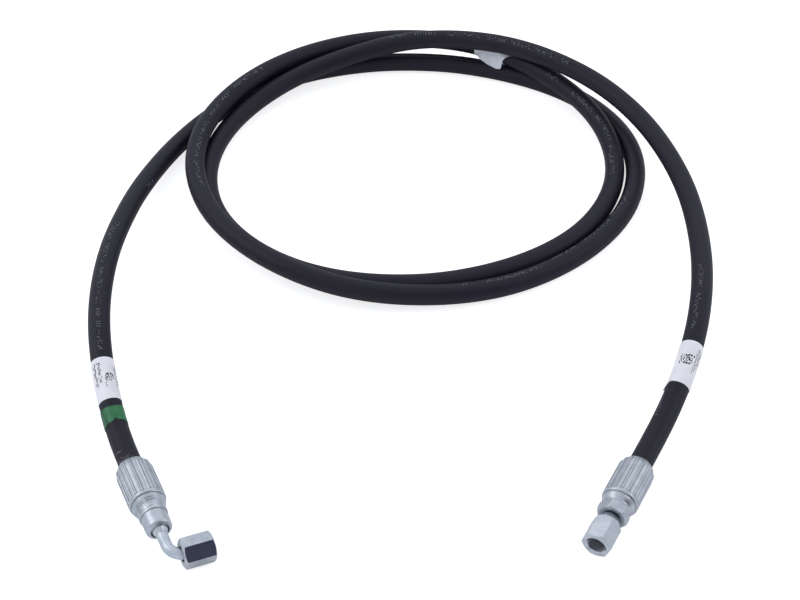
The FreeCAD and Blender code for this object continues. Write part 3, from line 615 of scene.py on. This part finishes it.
# the dark grey of the pressed marks is partly their own colour and partly painted shade in the
# grooves
PRESSED = make_print("pressed_marks", dark=(0.16, 0.17, 0.20), light=(0.24, 0.25, 0.29),
                     metallic=0.6, rough=0.5)
SCUFF = make_print("scuffs", dark=(0.16, 0.16, 0.18), light=(0.30, 0.30, 0.33))
FILM = make_print("mouth_film", dark=(0.10, 0.075, 0.045), light=(0.17, 0.13, 0.085),
                  metallic=0.3, rough=0.5)

CAD_MATERIALS = {
    "elbow_ferrule": ZINC_FERRULE, "straight_ferrule": ZINC_FERRULE,
    "elbow_stem": ZINC_STEM, "straight_stem": ZINC, "elbow_tube": ZINC_TUBE,
    "elbow_braze_ring": BRAZE, "elbow_flare_sleeve": ZINC_NUT, "elbow_nut": ZINC_NUT,
    "straight_nut": ZINC_NUT, "left_label": LABEL, "right_label": LABEL,
    "middle_label": LABEL_MIDDLE, "green_band": GREEN,
}
for node_name, node_material in CAD_MATERIALS.items():
    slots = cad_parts[node_name].data.materials
    slots.clear()
    slots.append(node_material)


# ------------------------------------------------------------------ hose
# Each layer comes in three lengths: the two tails, left where they are, and the
# loops between them, which stay with the hose body.
def station_point(station):
    """Centre of the hose at a station, in metres."""
    return tuple(path.at(station)[0][0] * MM)


def bend_elbow_tail(part):
    station_point(BEND_START)
    station_point(BEND_END)
    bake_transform(part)


def bend_straight_tail(part):
    station_point(TOTAL - BEND_START)
    station_point(TOTAL - BEND_END)
    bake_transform(part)


def ride_hose(part):
    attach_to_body(part, "hose")


ATTACH = {"elbow_tail": bend_elbow_tail, "straight_tail": bend_straight_tail,
          "loops": ride_hose}
ZONES = {"elbow_tail": (-HOSE_IN, TAIL), "loops": (TAIL, TOTAL - TAIL),
         "straight_tail": (TOTAL - TAIL, TOTAL + HOSE_IN)}


def hose_layer(node, outer, inner, segments, step, material):
    pieces = {zone: hose_tube(node + "_" + zone, start, end, outer, inner,
                              step, segments, material)
              for zone, (start, end) in ZONES.items()}
    for zone, attach in ATTACH.items():
        attach(pieces[zone])
    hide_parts(node)


hose_layer("hose_cover", outer=COVER_RADIUS, inner=BRAID_RADIUS, segments=44, step=2.6,
           material=RUBBER)
hose_layer("hose_wire_braid", outer=BRAID_RADIUS, inner=TUBE_RADIUS, segments=24, step=4.0,
           material=WIRE)
hose_layer("hose_inner_tube", outer=TUBE_RADIUS, inner=BORE_RADIUS, segments=24, step=4.0,
           material=INNER_RUBBER)

# ------------------------------------------------------------------ ferrules
# Sixteen pressed strips with narrow ridges left between them, then a plain shoulder.
STRIPS = 16
STRIP_PITCH = 360.0 / STRIPS
STRIP_RADIUS = 10.05
RIDGE_ARC_RADIUS = 10.2     # radius at which distances around the ferrule are taken
FERRULE_SEGMENTS = 384

# distances from the mouth at which the outer skin has a ring
FERRULE_STATIONS = [
    3.0, 3.12, 3.3, 3.6, 4.0, 4.5, 5.0, 5.6, 6.2, 6.9, 7.6, 8.4, 9.2, 10.2,
    12, 14, 16, 18, 20, 22, 24, 26, 28, 29.5, *np.arange(30.3, 32.61, 0.10),
    32.9, 33.2, 33.4, 33.55, 33.7, 33.82, 33.94, 34.06, 34.18, 34.3, 34.5, 34.8,
    35.3, 35.8, 36.3, 36.8, 37.3, 37.8, 38.2, 38.46]
# distance, radius of the rounded mouth and the strips
FERRULE_BODY = [
    (3.0, 6.98), (3.12, 7.28), (3.3, 7.55), (3.6, 7.92), (4.0, 8.25), (4.5, 8.55),
    (5.0, 8.80), (5.6, 9.10), (6.2, 9.36), (6.9, 9.62), (7.6, 9.82), (8.4, 9.97),
    (9.2, 10.05), (10.2, 10.08)]
# distance, radius of the shoulder and the groove behind it
SHOULDER = [(30, 10.45), (31.2, 10.48), (31.9, 10.53), (32.6, 10.50), (33.2, 10.32),
            (33.55, 10.08), (33.82, 9.80), (34.0, 9.70), (34.18, 9.74)]
SHOULDER_END = {
    "elbow": [(34.5, 9.80), (35.0, 9.70), (36, 9.36), (37, 8.98), (38, 8.64), (38.46, 8.5)],
    "straight": [(34.5, 9.70), (35.2, 9.46), (36.0, 9.10), (36.6, 8.80), (37.0, 8.55),
                 (37.3, 8.2), (38.46, 7.98)]}
# distance, radius of the end face, bore and mouth lip
FERRULE_BORE = [(38.5, 7.9), (38.5, 5.58), (30.7, 5.58), (30.7, 6.73), (3.4, 6.73),
                (3.02, 6.86)]
GROOVE_AT = 33.94


def ferrule(side, roll, seed):
    """roll turns the ridges about the axis, in degrees."""
    draw = random.Random(seed)
    phi = around(FERRULE_SEGMENTS)
    half = STRIP_PITCH / 2
    from_ridge = (phi - roll + half) % STRIP_PITCH - half
    ridge_index = np.floor((phi - roll + half) / STRIP_PITCH).astype(int) % STRIPS
    from_middle = (phi - roll) % STRIP_PITCH - half
    strip_index = np.floor((phi - roll) / STRIP_PITCH).astype(int) % STRIPS
    ridge_height = np.array([0.34 + 0.12 * draw.random() for _ in range(STRIPS)])[ridge_index]
    ridge_width = np.array([0.32 + 0.12 * draw.random() for _ in range(STRIPS)])[ridge_index]
    strip_lift = np.array([0.06 * (draw.random() - 0.5) for _ in range(STRIPS)])[strip_index]
    edge_phase, ripple_phase = draw.random() * 6.28, draw.random() * 6.28

    arc = np.radians(from_ridge) * RIDGE_ARC_RADIUS
    reach = np.abs(arc)
    # ridges with a shallow trough on each side
    ridge = ridge_height * bell(reach, 0, ridge_width) - 0.13 * bell(reach, 0.95, 0.35)
    # painted shade on the flanks beside each ridge, heavier on one side as if lit from the
    # other
    flank_shade = 0.30 * bell(reach, 0.72, 0.30) + 0.22 * bell(arc, -0.75, 0.30)
    # flat strips, nine tenths of the way from round
    flat = 0.9 * (STRIP_RADIUS / np.cos(np.radians(from_middle)) - STRIP_RADIUS)
    strip = flat + strip_lift * smooth_step((half - np.abs(from_middle)) / 3.0)
    # wavy line where the strips end
    edge = (31.35 + 0.32 * np.cos(np.radians(from_ridge * 16))
            + 0.10 * np.sin(np.radians(phi * 3) + edge_phase))
    shoulder = SHOULDER + SHOULDER_END[side]

    rings, shade_tones = [], []
    for distance in FERRULE_STATIONS:
        fade = smooth_step((distance - 3.9) / 3.2)
        crimp = lookup(distance, FERRULE_BODY) + fade * (ridge + strip)
        crimp -= 0.16 * bell(distance, edge - 0.22, 0.22)
        crimp += (0.025 * np.sin(distance * 0.9 + ripple_phase)
                  * np.cos(np.radians(phi * 2) + distance * 0.21))
        past = smooth_step((distance - edge) / 0.22)
        radius = crimp * (1 - past) + lookup(distance, shoulder) * past
        rings.append(fitting_ring(side, distance, radius, phi))
        # painted shade: darker on the ridge flanks, along the wavy edge where the strips end,
        # and in the groove behind the shoulder
        shade_tones.append(np.clip(1.0 - flank_shade * fade * (1 - past)
                             - 0.55 * bell(distance, edge - 0.12, 0.22)
                             - 0.70 * bell(distance, GROOVE_AT, 0.30), 0.2, 1.0))
    for distance, radius in FERRULE_BORE:
        rings.append(fitting_ring(side, distance, radius, phi))
        # painted shade on the end face, bore and mouth lip
        shade_tones.append(np.full(FERRULE_SEGMENTS, 0.45))
    metal_part(side + "_ferrule_shell", rings, shade_tones, ZINC_FERRULE, sharp=62,
               rides=side + "_end", replaces=side + "_ferrule")


ferrule("elbow", roll=8.0, seed=3)
ferrule("straight", roll=3.0, seed=8)

# ------------------------------------------------------------------ turned parts
# Profiles are closed loops of (distance from the mouth, radius, tone); the tone is
# painted shade, darker in steps, pockets and bores.
BARB_STARTS = [8.0 + 5.5 * k for k in range(4)]
# the part of both stems inside the hose, up to the inside of the ferrule
BARBED_TAIL = [(5.0, 1.9, 0.5), (5.0, 2.72, 1.0), (5.9, 3.17, 1.0)]
for barb in BARB_STARTS:
    BARBED_TAIL += [(barb, 3.17, 1.0), (barb + 0.3, 2.85, 1.0), (barb + 2.4, 3.17, 1.0)]
BARBED_TAIL += [(30.75, 3.17, 1.0), (30.75, 5.55, 1.0)]

# distance, radius where the elbow collar runs on from its ferrule
COLLAR = [(39.0, 8.33), (39.6, 8.20), (40.4, 8.10), (41.4, 8.05)]
ELBOW_STEM = BARBED_TAIL + [
    (38.35, 5.55, 0.3), (38.48, 7.9, 0.8), (38.48, 8.48, 1.0),
    *[(distance, radius, 1.0) for distance, radius in COLLAR],
    (43.45, 8.02, 1.0), (43.7, 7.98, 0.95), (43.88, 7.88, 0.8), (43.98, 7.72, 0.6),
    (44.02, 7.55, 0.6), (44.25, 7.50, 0.85), (44.8, 7.50, 1.0), (48.0, 7.48, 1.0),
    (50.8, 7.45, 1.0), (51.8, 7.43, 1.0), (52.5, 7.34, 1.0), (53.1, 7.12, 1.0),
    (53.6, 6.75, 1.0), (53.9, 6.35, 1.0), (54.1, 5.95, 1.0), (54.2, 5.55, 1.0),
    (54.22, 5.30, 0.9), (54.12, 5.12, 0.7), (53.9, 5.05, 0.55), (53.4, 5.02, 0.5),
    (53.0, 5.0, 0.5), (53.0, 3.25, 0.5), (53.0, 3.22, 0.3), (48.0, 3.22, 0.3),
    (48.0, 1.9, 0.3)]
BRAZE_FILLET = [
    (53.05, 3.23, 0.6), (53.05, 4.97, 0.6), (53.5, 4.93, 0.7), (53.75, 4.80, 0.8),
    (53.9, 4.60, 0.75), (54.0, 4.45, 0.6), (54.15, 4.38, 0.65), (54.45, 4.30, 0.9),
    (54.8, 4.12, 1.0), (55.3, 3.88, 1.0), (55.9, 3.6, 1.0), (56.5, 3.38, 1.0),
    (57.1, 3.26, 1.0), (57.1, 3.22, 1.0)]
STRAIGHT_STEM = BARBED_TAIL + [
    (38.5, 5.55, 0.4), (38.52, 7.6, 0.7), (38.6, 8.05, 0.9), (38.9, 8.4, 1.0),
    (39.3, 8.75, 1.0), (39.8, 9.05, 1.0), (40.3, 9.24, 1.0), (41.0, 9.30, 1.0),
    (43.2, 9.30, 1.0), (43.9, 9.24, 1.0), (44.3, 9.05, 1.0), (44.7, 8.75, 1.0),
    (45.0, 8.4, 1.0), (45.2, 8.0, 1.0), (45.28, 7.6, 0.95), (45.3, 6.6, 0.8),
    (45.3, 4.6, 0.6), (45.3, 3.8, 0.5), (52.6, 3.8, 0.5), (52.6, 4.72, 0.6),
    (54.0, 4.72, 0.6), (57.0, 2.6, 0.6), (57.0, 1.9, 0.4)]
NUT_NECK = [
    (45.7, 4.0, 0.7), (45.7, 4.75, 0.9), (45.85, 5.0, 1.0), (46.3, 5.2, 1.0),
    (47.2, 5.55, 1.0), (48.2, 6.1, 1.0), (49.4, 6.65, 1.0), (50.7, 7.24, 1.0),
    (50.9, 7.24, 1.0), (50.9, 7.0, 0.6), (47.6, 5.2, 0.6), (47.0, 4.0, 0.6)]

turned("elbow_stem_turned", "elbow", ELBOW_STEM, ZINC_STEM,
       rides="elbow_end", replaces="elbow_stem")
turned("elbow_braze_ring_fillet", "elbow", BRAZE_FILLET, BRAZE,
       rides="elbow_end", slot="braze", replaces="elbow_braze_ring")

HEX_HALF_FLATS = 8.0            # axis to a flat
HEX_START, HEX_END = 38.6, 45.28
HEX_SEGMENTS = 240


def hexagon_corner_angle():
    """Angle of a corner of the CAD hexagon, so that the new one lines up with it."""
    mouth, axis, across = FITTINGS["straight"]
    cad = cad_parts["straight_stem"]
    verts = np.array([tuple(cad.matrix_world @ vert.co) for vert in cad.data.vertices])
    verts = verts / MM - mouth
    distance, height, width = verts @ axis, verts @ UP, verts @ across
    corners = (distance > 40) & (distance < 46) & (np.hypot(height, width) > 9.0)
    # sixfold mean direction; falls back to 0 degrees if the CAD has no corner vertices
    turns = np.exp(6j * np.arctan2(height, width)[corners])
    mean = turns.mean() if corners.any() else 1.0
    return math.degrees(math.atan2(mean.imag, mean.real)) / 6.0


def straight_stem():
    """Barbed tail, hexagon with turned corners, and cone head."""
    phi = around(HEX_SEGMENTS)
    from_flat = (phi - hexagon_corner_angle()) % 60.0 - 30.0
    flats = HEX_HALF_FLATS / np.cos(np.radians(from_flat))
    rings = []
    for distance, radius, _ in STRAIGHT_STEM:
        if HEX_START <= distance <= HEX_END:
            radius = np.minimum(radius, flats)
        rings.append(fitting_ring("straight", distance, radius, phi))
    shade_tones = np.repeat([tone for _, _, tone in STRAIGHT_STEM], HEX_SEGMENTS)
    metal_part("straight_stem_hexagon", rings, shade_tones, ZINC_STEM, sharp=24,
               rides="straight_end", replaces="straight_stem")


straight_stem()

# neck of the straight nut, rolled in behind the head of the stem
turned("straight_nut_neck", "straight", NUT_NECK, ZINC_NECK, sharp=40, segments=96,
       rides="straight_nut")


# ------------------------------------------------------------------ marks
# rows of ticks on the elbow collar: distance from, to, angle from, to
TICK_ROWS = [
    (36.3, 36.75, 72, 104), (37.5, 37.95, 68, 102), (36.9, 37.35, 114, 150),
    (38.0, 38.4, 112, 152), (39.1, 39.5, 110, 154), (40.3, 40.7, 108, 150),
    (41.5, 41.85, 84, 146), (42.5, 42.8, 104, 128)]


def collar_ticks():
    """Plain ticks on the ferrule end and the collar of the elbow stem. Their dark grey is
    partly the pressed marks' own colour and partly painted shade in the pressed grooves.
    """
    plates = Plates()
    draw = random.Random(5)
    outline = SHOULDER_END["elbow"] + COLLAR
    for start, end, first, last in TICK_ROWS:
        angle = first
        while angle < last:
            tick_end = min(angle + 4.0 + 9.0 * draw.random(), last)
            degrees = np.linspace(angle, tick_end, 4)
            top, bottom = [[fitting_ring("elbow", distance,
                                         lookup(distance, outline) + offset, degrees)
                            for distance in (start, end)] for offset in (0.02, -0.15)]
            plates.block(top, bottom)
            angle = tick_end + 1.4 + 1.8 * draw.random()
    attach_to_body(plates.make("elbow_stem_ticks", PRESSED), "elbow_end")


collar_ticks()

# Abstract marks, as bars of (start, end, low, high):
# start and end in bar widths along the hose, low and high in row heights from its middle
MARK_SHAPES = [
    [(0, 1, -0.5, 0.5)],
    [(0, 1, -0.5, -0.05), (1, 2.2, -0.5, -0.36)],
    [(0, 1, 0.05, 0.5), (1, 2.2, 0.36, 0.5)],
    [(0, 2.4, -0.07, 0.07)],
    [(0, 1, -0.5, -0.30), (0, 1, 0.30, 0.5)],
    [(0, 1, -0.30, 0.30), (1.7, 2.5, -0.30, 0.30)],
]


def mark_row(plates, draw, start, end, angles, pitch, height, bar, skin, gap):
    """A row of marks along the hose, centred on the (station, degrees) table angles.
    height is in degrees, bar is a bar's width, gap the chance of leaving a mark out."""
    station = start
    while station < end - bar:
        if draw.random() > gap:
            middle = lookup(station, angles)
            for bar_start, bar_end, low, high in MARK_SHAPES[draw.randrange(6)]:
                plates.patch(station + bar_start * bar, station + bar_end * bar,
                             middle + low * height, middle + high * height,
                             skin, degree_step=12)
        station += pitch * (0.85 + 0.3 * draw.random())


def code_block(plates, draw, start, end, low, high, columns, rows, skew=0.0):
    """A scatter of small squares on a label, nothing that can be read."""
    width, height = (end - start) / columns, (high - low) / rows
    middle = 0.5 * (low + high)
    for i in range(columns):
        j = 0
        while j < rows:
            if draw.random() < 0.52:
                j_end = j + 1
                while j_end < rows and draw.random() < 0.45:
                    j_end += 1
                bottom, top = low + j * height, low + j_end * height
                shift = skew * (0.5 * (bottom + top) - middle)
                plates.patch(start + i * width + shift, start + (i + 1) * width + shift,
                             bottom, top, LABEL_SKIN, skew=skew, degree_step=14)
                j = j_end
            j += 1


# Printed rows on the cover: start, end, then a table of (station, degrees from the top)
LAYLINES = {
    "elbow_tail": [
        (79, 110, [(78, 4), (144, 0)]), (114, 147, [(78, 4), (144, 0)]),
        (151, 172, [(144, 0), (175, -8)]), (176, 198, [(175, -8), (189, -4), (197, 12)])],
    "loops": [
        (252, 262, [(250, 56), (300, 104)]),
        (793, 826, [(793, 16), (800, 20), (815, 28), (826, 28)]),
        (830, 862, [(830, 24), (850, 28)]), (868, 889, [(868, 28), (880, 24), (889, 30)]),
        (894, 940, [(894, 20), (900, 4), (915, 2), (940, 12)]), (952, 956, [(952, 12)]),
        (1169, 1198, [(1169, 12), (1198, 12)]),
        (1203, 1226, [(1203, 14), (1214, 20), (1226, 24)]), (1230, 1247, [(1230, 24)]),
        (1254, 1284, [(1254, 21), (1284, 20)]), (1290, 1321, [(1290, 12), (1321, 16)]),
        (1568, 1581, [(1568, 40), (1581, 24)]), (1596, 1622, [(1596, 36), (1622, 26)]),
        (1627, 1655, [(1627, 24), (1640, 16), (1655, 20)]),
        (1660, 1692, [(1660, 24), (1670, 28), (1692, 16)]),
        (2293, 2306, [(2293, 0), (2306, 8)]),
        (2312, 2330, [(2312, 8), (2324, 16), (2330, 22)]),
        (2337, 2363, [(2337, 24), (2363, 27)]), (2368, 2385, [(2368, 28), (2385, 30)]),
        (2387.5, 2404, [(2387, 30), (2404, 30)]), (2406, 2426, [(2406, 31), (2426, 28)]),
        (2430, 2437, [(2430, 28)])],
    "straight_tail": [
        (2678, 2702, [(2678, 12), (2702, 13)]),
        (2707, 2737, [(2707, 16), (2720, 20), (2737, 20)]),
        (2784, 2802, [(2783, 70), (2793, 50), (2802, 38)])],
}


def laylines():
    draw = random.Random(21)
    for zone, rows in LAYLINES.items():
        plates = Plates()
        for start, end, angles in rows:
            mark_row(plates, draw, start, end, angles, pitch=1.85, height=25.0, bar=0.46,
                     skin=LAYLINE_SKIN, gap=0.07)
        ATTACH[zone](plates.make("printed_marks_" + zone, LAYLINE_INK))


laylines()


def label_row(plates, draw, start, end, angle, **sizes):
    """A straight row of marks on a label."""
    mark_row(plates, draw, start, end, [(start, angle)], skin=LABEL_SKIN, **sizes)


def label_marks():
    draw = random.Random(33)
    plates = Plates()
    for start, angle in ((56, -22.0), (54, -48.0)):
        label_row(plates, draw, start, 69.5, angle, pitch=1.25, height=19.0, bar=0.62, gap=0.0)
    code_block(plates, draw, start=56.2, end=61.8, low=2, high=46, columns=9, rows=9)
    plates.patch(52.6, 53.5, 0, 5, LABEL_SKIN)
    plates.patch(54.4, 55.1, -1, 4, LABEL_SKIN)
    for angle in (57.0, 66.0, 75.0):
        label_row(plates, draw, 53.0, 68, angle, pitch=1.1, height=7.0, bar=0.5, gap=0.12)
    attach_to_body(plates.make("left_label_marks", INK), "elbow_end")

    plates = Plates()
    code_block(plates, draw, start=2755.2, end=2762.2, low=-34, high=34, columns=10, rows=10,
               skew=0.010)
    for angle, start, end in ((-43.0, 2749.5, 2767), (-51.0, 2749, 2766),
                              (-59.0, 2749, 2764), (-67.0, 2750, 2761)):
        label_row(plates, draw, start, end, angle, pitch=1.05, height=7.0, bar=0.48, gap=0.05)
    label_row(plates, draw, 2748, 2760, 78.0, pitch=1.7, height=6.0, bar=0.42, gap=0.35)
    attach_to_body(plates.make("right_label_marks", INK), "straight_end")


label_marks()


# ------------------------------------------------------------------ labels and tape
def right_label_corner():
    """Loose corner of the right label, lifting a little from the hose."""
    label_edge = TOTAL - 58.3
    overlap = 1.2       # how far the corner starts back on the label
    degrees = np.linspace(48, 112, 9)
    reach = 4.2 * np.sin(math.pi * np.clip((degrees - 50) / 80.0, 0, 1)) + 0.2
    top, bottom = [], []
    for t in np.linspace(0, 1, 6):
        stations = label_edge - overlap + t * (overlap + reach)
        lift = 0.88 * t * t * smooth_step((degrees - 48) / 64.0)
        top.append(path.surface(stations, degrees, 7.05 + lift))
        bottom.append(path.surface(stations, degrees, 6.90 + lift))
    plates = Plates()
    plates.block(top, bottom)
    corner = plates.make("right_label_corner", LABEL, sharp=40)
    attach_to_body(corner, "straight_end")


right_label_corner()


def tape_edges(degrees):
    """Lower and upper station of the green tape; the lower edge has a small notch."""
    low = (27.9 + 0.35 * np.sin(np.radians(degrees * 2 + 40))
           + 1.5 * bell(degrees, 3.0, 7.0) - 0.9 * bell(degrees, -75.0, 30.0))
    high = (38.9 + 0.30 * np.sin(np.radians(degrees * 1.5 - 30))
            - 0.45 * bell(degrees, 20.0, 25.0))
    return low, high


def tape_sheet(name, first, last, inner, outer, columns, slant, material):
    """Tape from angle first to last; slant carries the lower edge on by that many degrees."""
    across = np.arange(6) / 5
    top, bottom = [], []
    for j in range(columns + 1):
        degrees = first + (last + slant * (1 - across) - first) * j / columns
        low, high = tape_edges(degrees)
        stations = low + (high - low) * across
        top.append(path.surface(stations, degrees, outer))
        bottom.append(path.surface(stations, degrees, inner))
    plates = Plates()
    plates.block(top, bottom)
    sheet = plates.make(name, material, sharp=40)
    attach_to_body(sheet, "elbow_end")
    return sheet


tape_turn = tape_sheet("green_band_turn", first=-179.0, last=179.5, inner=6.75, outer=6.90,
                       columns=90, slant=0.0, material=GREEN)
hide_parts("green_band")
tape_sheet("green_band_lap", first=-120.0, last=-58.0, inner=6.895, outer=7.01,
           columns=16, slant=26.0, material=GREEN_LAP)

# leaf of the middle label: upper edge on the hose, lower free edge
LEAF_EDGES = [
    ((53.67, 226.23, 17.39), (54.01, 223.86, 18.19)),
    ((56.07, 224.21, 20.37), (56.91, 221.99, 15.66)),
    ((59.69, 221.83, 22.25), (61.43, 219.07, 13.35)),
    ((63.35, 219.91, 23.13), (65.17, 216.66, 11.97)),
    ((66.63, 218.07, 23.86), (68.85, 214.28, 11.91)),
    ((69.18, 216.65, 24.42), (72.03, 212.23, 12.99)),
    ((71.00, 215.67, 24.78), (72.50, 211.93, 15.77)),
    ((72.44, 214.73, 25.12), (73.09, 211.54, 20.46)),
    ((75.72, 213.13, 25.44), (74.90, 210.37, 23.87)),
    ((78.60, 211.32, 26.07), (77.68, 208.58, 26.43)),
    ((81.35, 210.05, 26.54), (81.05, 206.40, 28.36))]
LEAF_STATION = 1515.0
LEAF_HALF_THICKNESS = 0.08


def middle_label_leaf():
    """Loose tail of the middle label, a thin leaf hanging beside the hose."""
    right = path.at(LEAF_STATION)[2][0]
    down = (np.arange(8) / 7)[:, None]
    top, bottom = [], []
    for i, (upper, lower) in enumerate(np.array(LEAF_EDGES)):
        length = np.linalg.norm(upper - lower)
        bulge = 0.9 * np.sin(math.pi * down) * min(1.0, length / 10.0)
        ripple = 0.22 * math.sin(i * 1.7) * down * min(1.0, length / 8.0)
        points = upper + (lower - upper) * down + right * (bulge + ripple)
        top.append(points + right * LEAF_HALF_THICKNESS)
        bottom.append(points - right * LEAF_HALF_THICKNESS)
    plates = Plates()
    plates.block(top, bottom)
    leaf = plates.make("middle_label_leaf", LABEL_MIDDLE, sharp=40)
    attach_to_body(leaf, "hose")


middle_label_leaf()


# ------------------------------------------------------------------ wear
def hose_scuffs():
    """Two pale scrapes and a scatter of specks beside the elbow ferrule."""
    plates = Plates()
    draw = random.Random(9)
    plates.patch(5.2, 5.65, -58, -34, (6.66, 6.715))
    plates.patch(4.7, 5.05, -36, -24, (6.66, 6.712))
    for _ in range(26):
        angle = -66 + 92 * draw.random()
        station = -1.9 + 2.6 * draw.random() ** 1.5
        plates.patch(station, station + 0.18 + 0.25 * draw.random(),
                     angle, angle + 2 + 7 * draw.random(), SPECK_SKIN)
    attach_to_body(plates.make("hose_scuffs", SCUFF), "elbow_end")


def mouth_film():
    """A brownish film on the hose at the straight ferrule, widest at -38 degrees."""
    plates = Plates()
    step = 5.0
    for angle in np.arange(-66, -8, step):
        width = 0.35 + 0.55 * bell(angle, -38, 16.0)
        plates.patch(TOTAL + 2.9 - width - 0.25, TOTAL + 3.4, angle, angle + step, FILM_SKIN)
    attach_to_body(plates.make("ferrule_mouth_film", FILM), "straight_end")


hose_scuffs()
mouth_film()


# ------------------------------------------------------------------ stage
def floor():
    mat = Material("floor_white")
    mat.set(color=(0.80, 0.81, 0.83), rough=0.9, specular=0.0)
    # glows mostly towards the camera, so it looks white without lighting the hose much
    camera_ray = mat.node("ShaderNodeLightPath").outputs["Is Camera Ray"]
    glow = mat.math("ADD", mat.math("MULTIPLY", camera_ray, 0.62), 0.14)
    mat.set(glow=glow, glow_color=(1, 1, 1))
    half, level = 6000.0, -0.25
    corners = [(-half, -half, level), (half, -half, level),
               (half, half, level), (-half, half, level)]
    new_object("floor", corners, [(0, 1, 2, 3)], mat.material)


def studio_world():
    """Pale surroundings with a dark patch low on the +X, -Y side."""
    worlds = bpy.data.worlds
    world = worlds[0] if worlds else worlds.new("studio")
    bpy.context.scene.world = world
    world.use_nodes = True
    nodes, links = world.node_tree.nodes, world.node_tree.links
    nodes.clear()
    output = nodes.new("ShaderNodeOutputWorld")
    background = nodes.new("ShaderNodeBackground")
    coords = nodes.new("ShaderNodeTexCoord")
    facing = nodes.new("ShaderNodeVectorMath")
    facing.operation = "DOT_PRODUCT"
    facing.inputs[1].default_value = Vector((0.60, -0.66, 0.46)).normalized()
    ramp = nodes.new("ShaderNodeValToRGB")
    ramp.color_ramp.interpolation = "EASE"
    pale, dark = ramp.color_ramp.elements
    pale.position, pale.color = 0.84, (0.88, 0.92, 1.0, 1)
    dark.position, dark.color = 0.94, (0.070, 0.075, 0.125, 1)
    background.inputs["Strength"].default_value = 0.67
    links.new(coords.outputs["Generated"], facing.inputs[0])
    links.new(facing.outputs["Value"], ramp.inputs["Fac"])
    links.new(ramp.outputs["Color"], background.inputs["Color"])
    links.new(background.outputs["Background"], output.inputs["Surface"])


def aim(thing, target):
    thing.rotation_mode = "QUATERNION"
    way = Vector(target) - thing.location
    thing.rotation_quaternion = way.to_track_quat("-Z", "Y")


def area_light(name, location, size, power):
    """Rectangular light aimed at the origin; location and size in metres."""
    light = bpy.data.lights.new(name, "AREA")
    light.shape = "RECTANGLE"
    light.size, light.size_y = size
    light.energy = power
    lamp = add_object(name, light)
    lamp.location = location
    aim(lamp, (0, 0, 0))


def camera():
    data = bpy.data.cameras.new("camera")
    data.sensor_width = 36.0
    data.lens = 67.5
    data.clip_start, data.clip_end = 0.01, 50
    view = add_object("camera", data)
    view_x = -3.84      # camera and target share it
    view.location = (view_x * MM, -747.016 * MM, 641.696 * MM)
    aim(view, (view_x * MM, -34.34 * MM, 0))
    bpy.context.scene.camera = view


floor()
studio_world()
area_light("key_left", location=(-1.3, 0.1, 1.1), size=(0.9, 0.9), power=3.5)
area_light("fill_right", location=(1.4, -0.2, 1.0), size=(0.9, 0.9), power=3)
area_light("top_back", location=(0.0, 1.2, 1.3), size=(2.6, 1.2), power=3)
camera()
bpy.context.scene.view_settings.view_transform = "Standard"
bpy.context.scene.view_settings.look = "None"
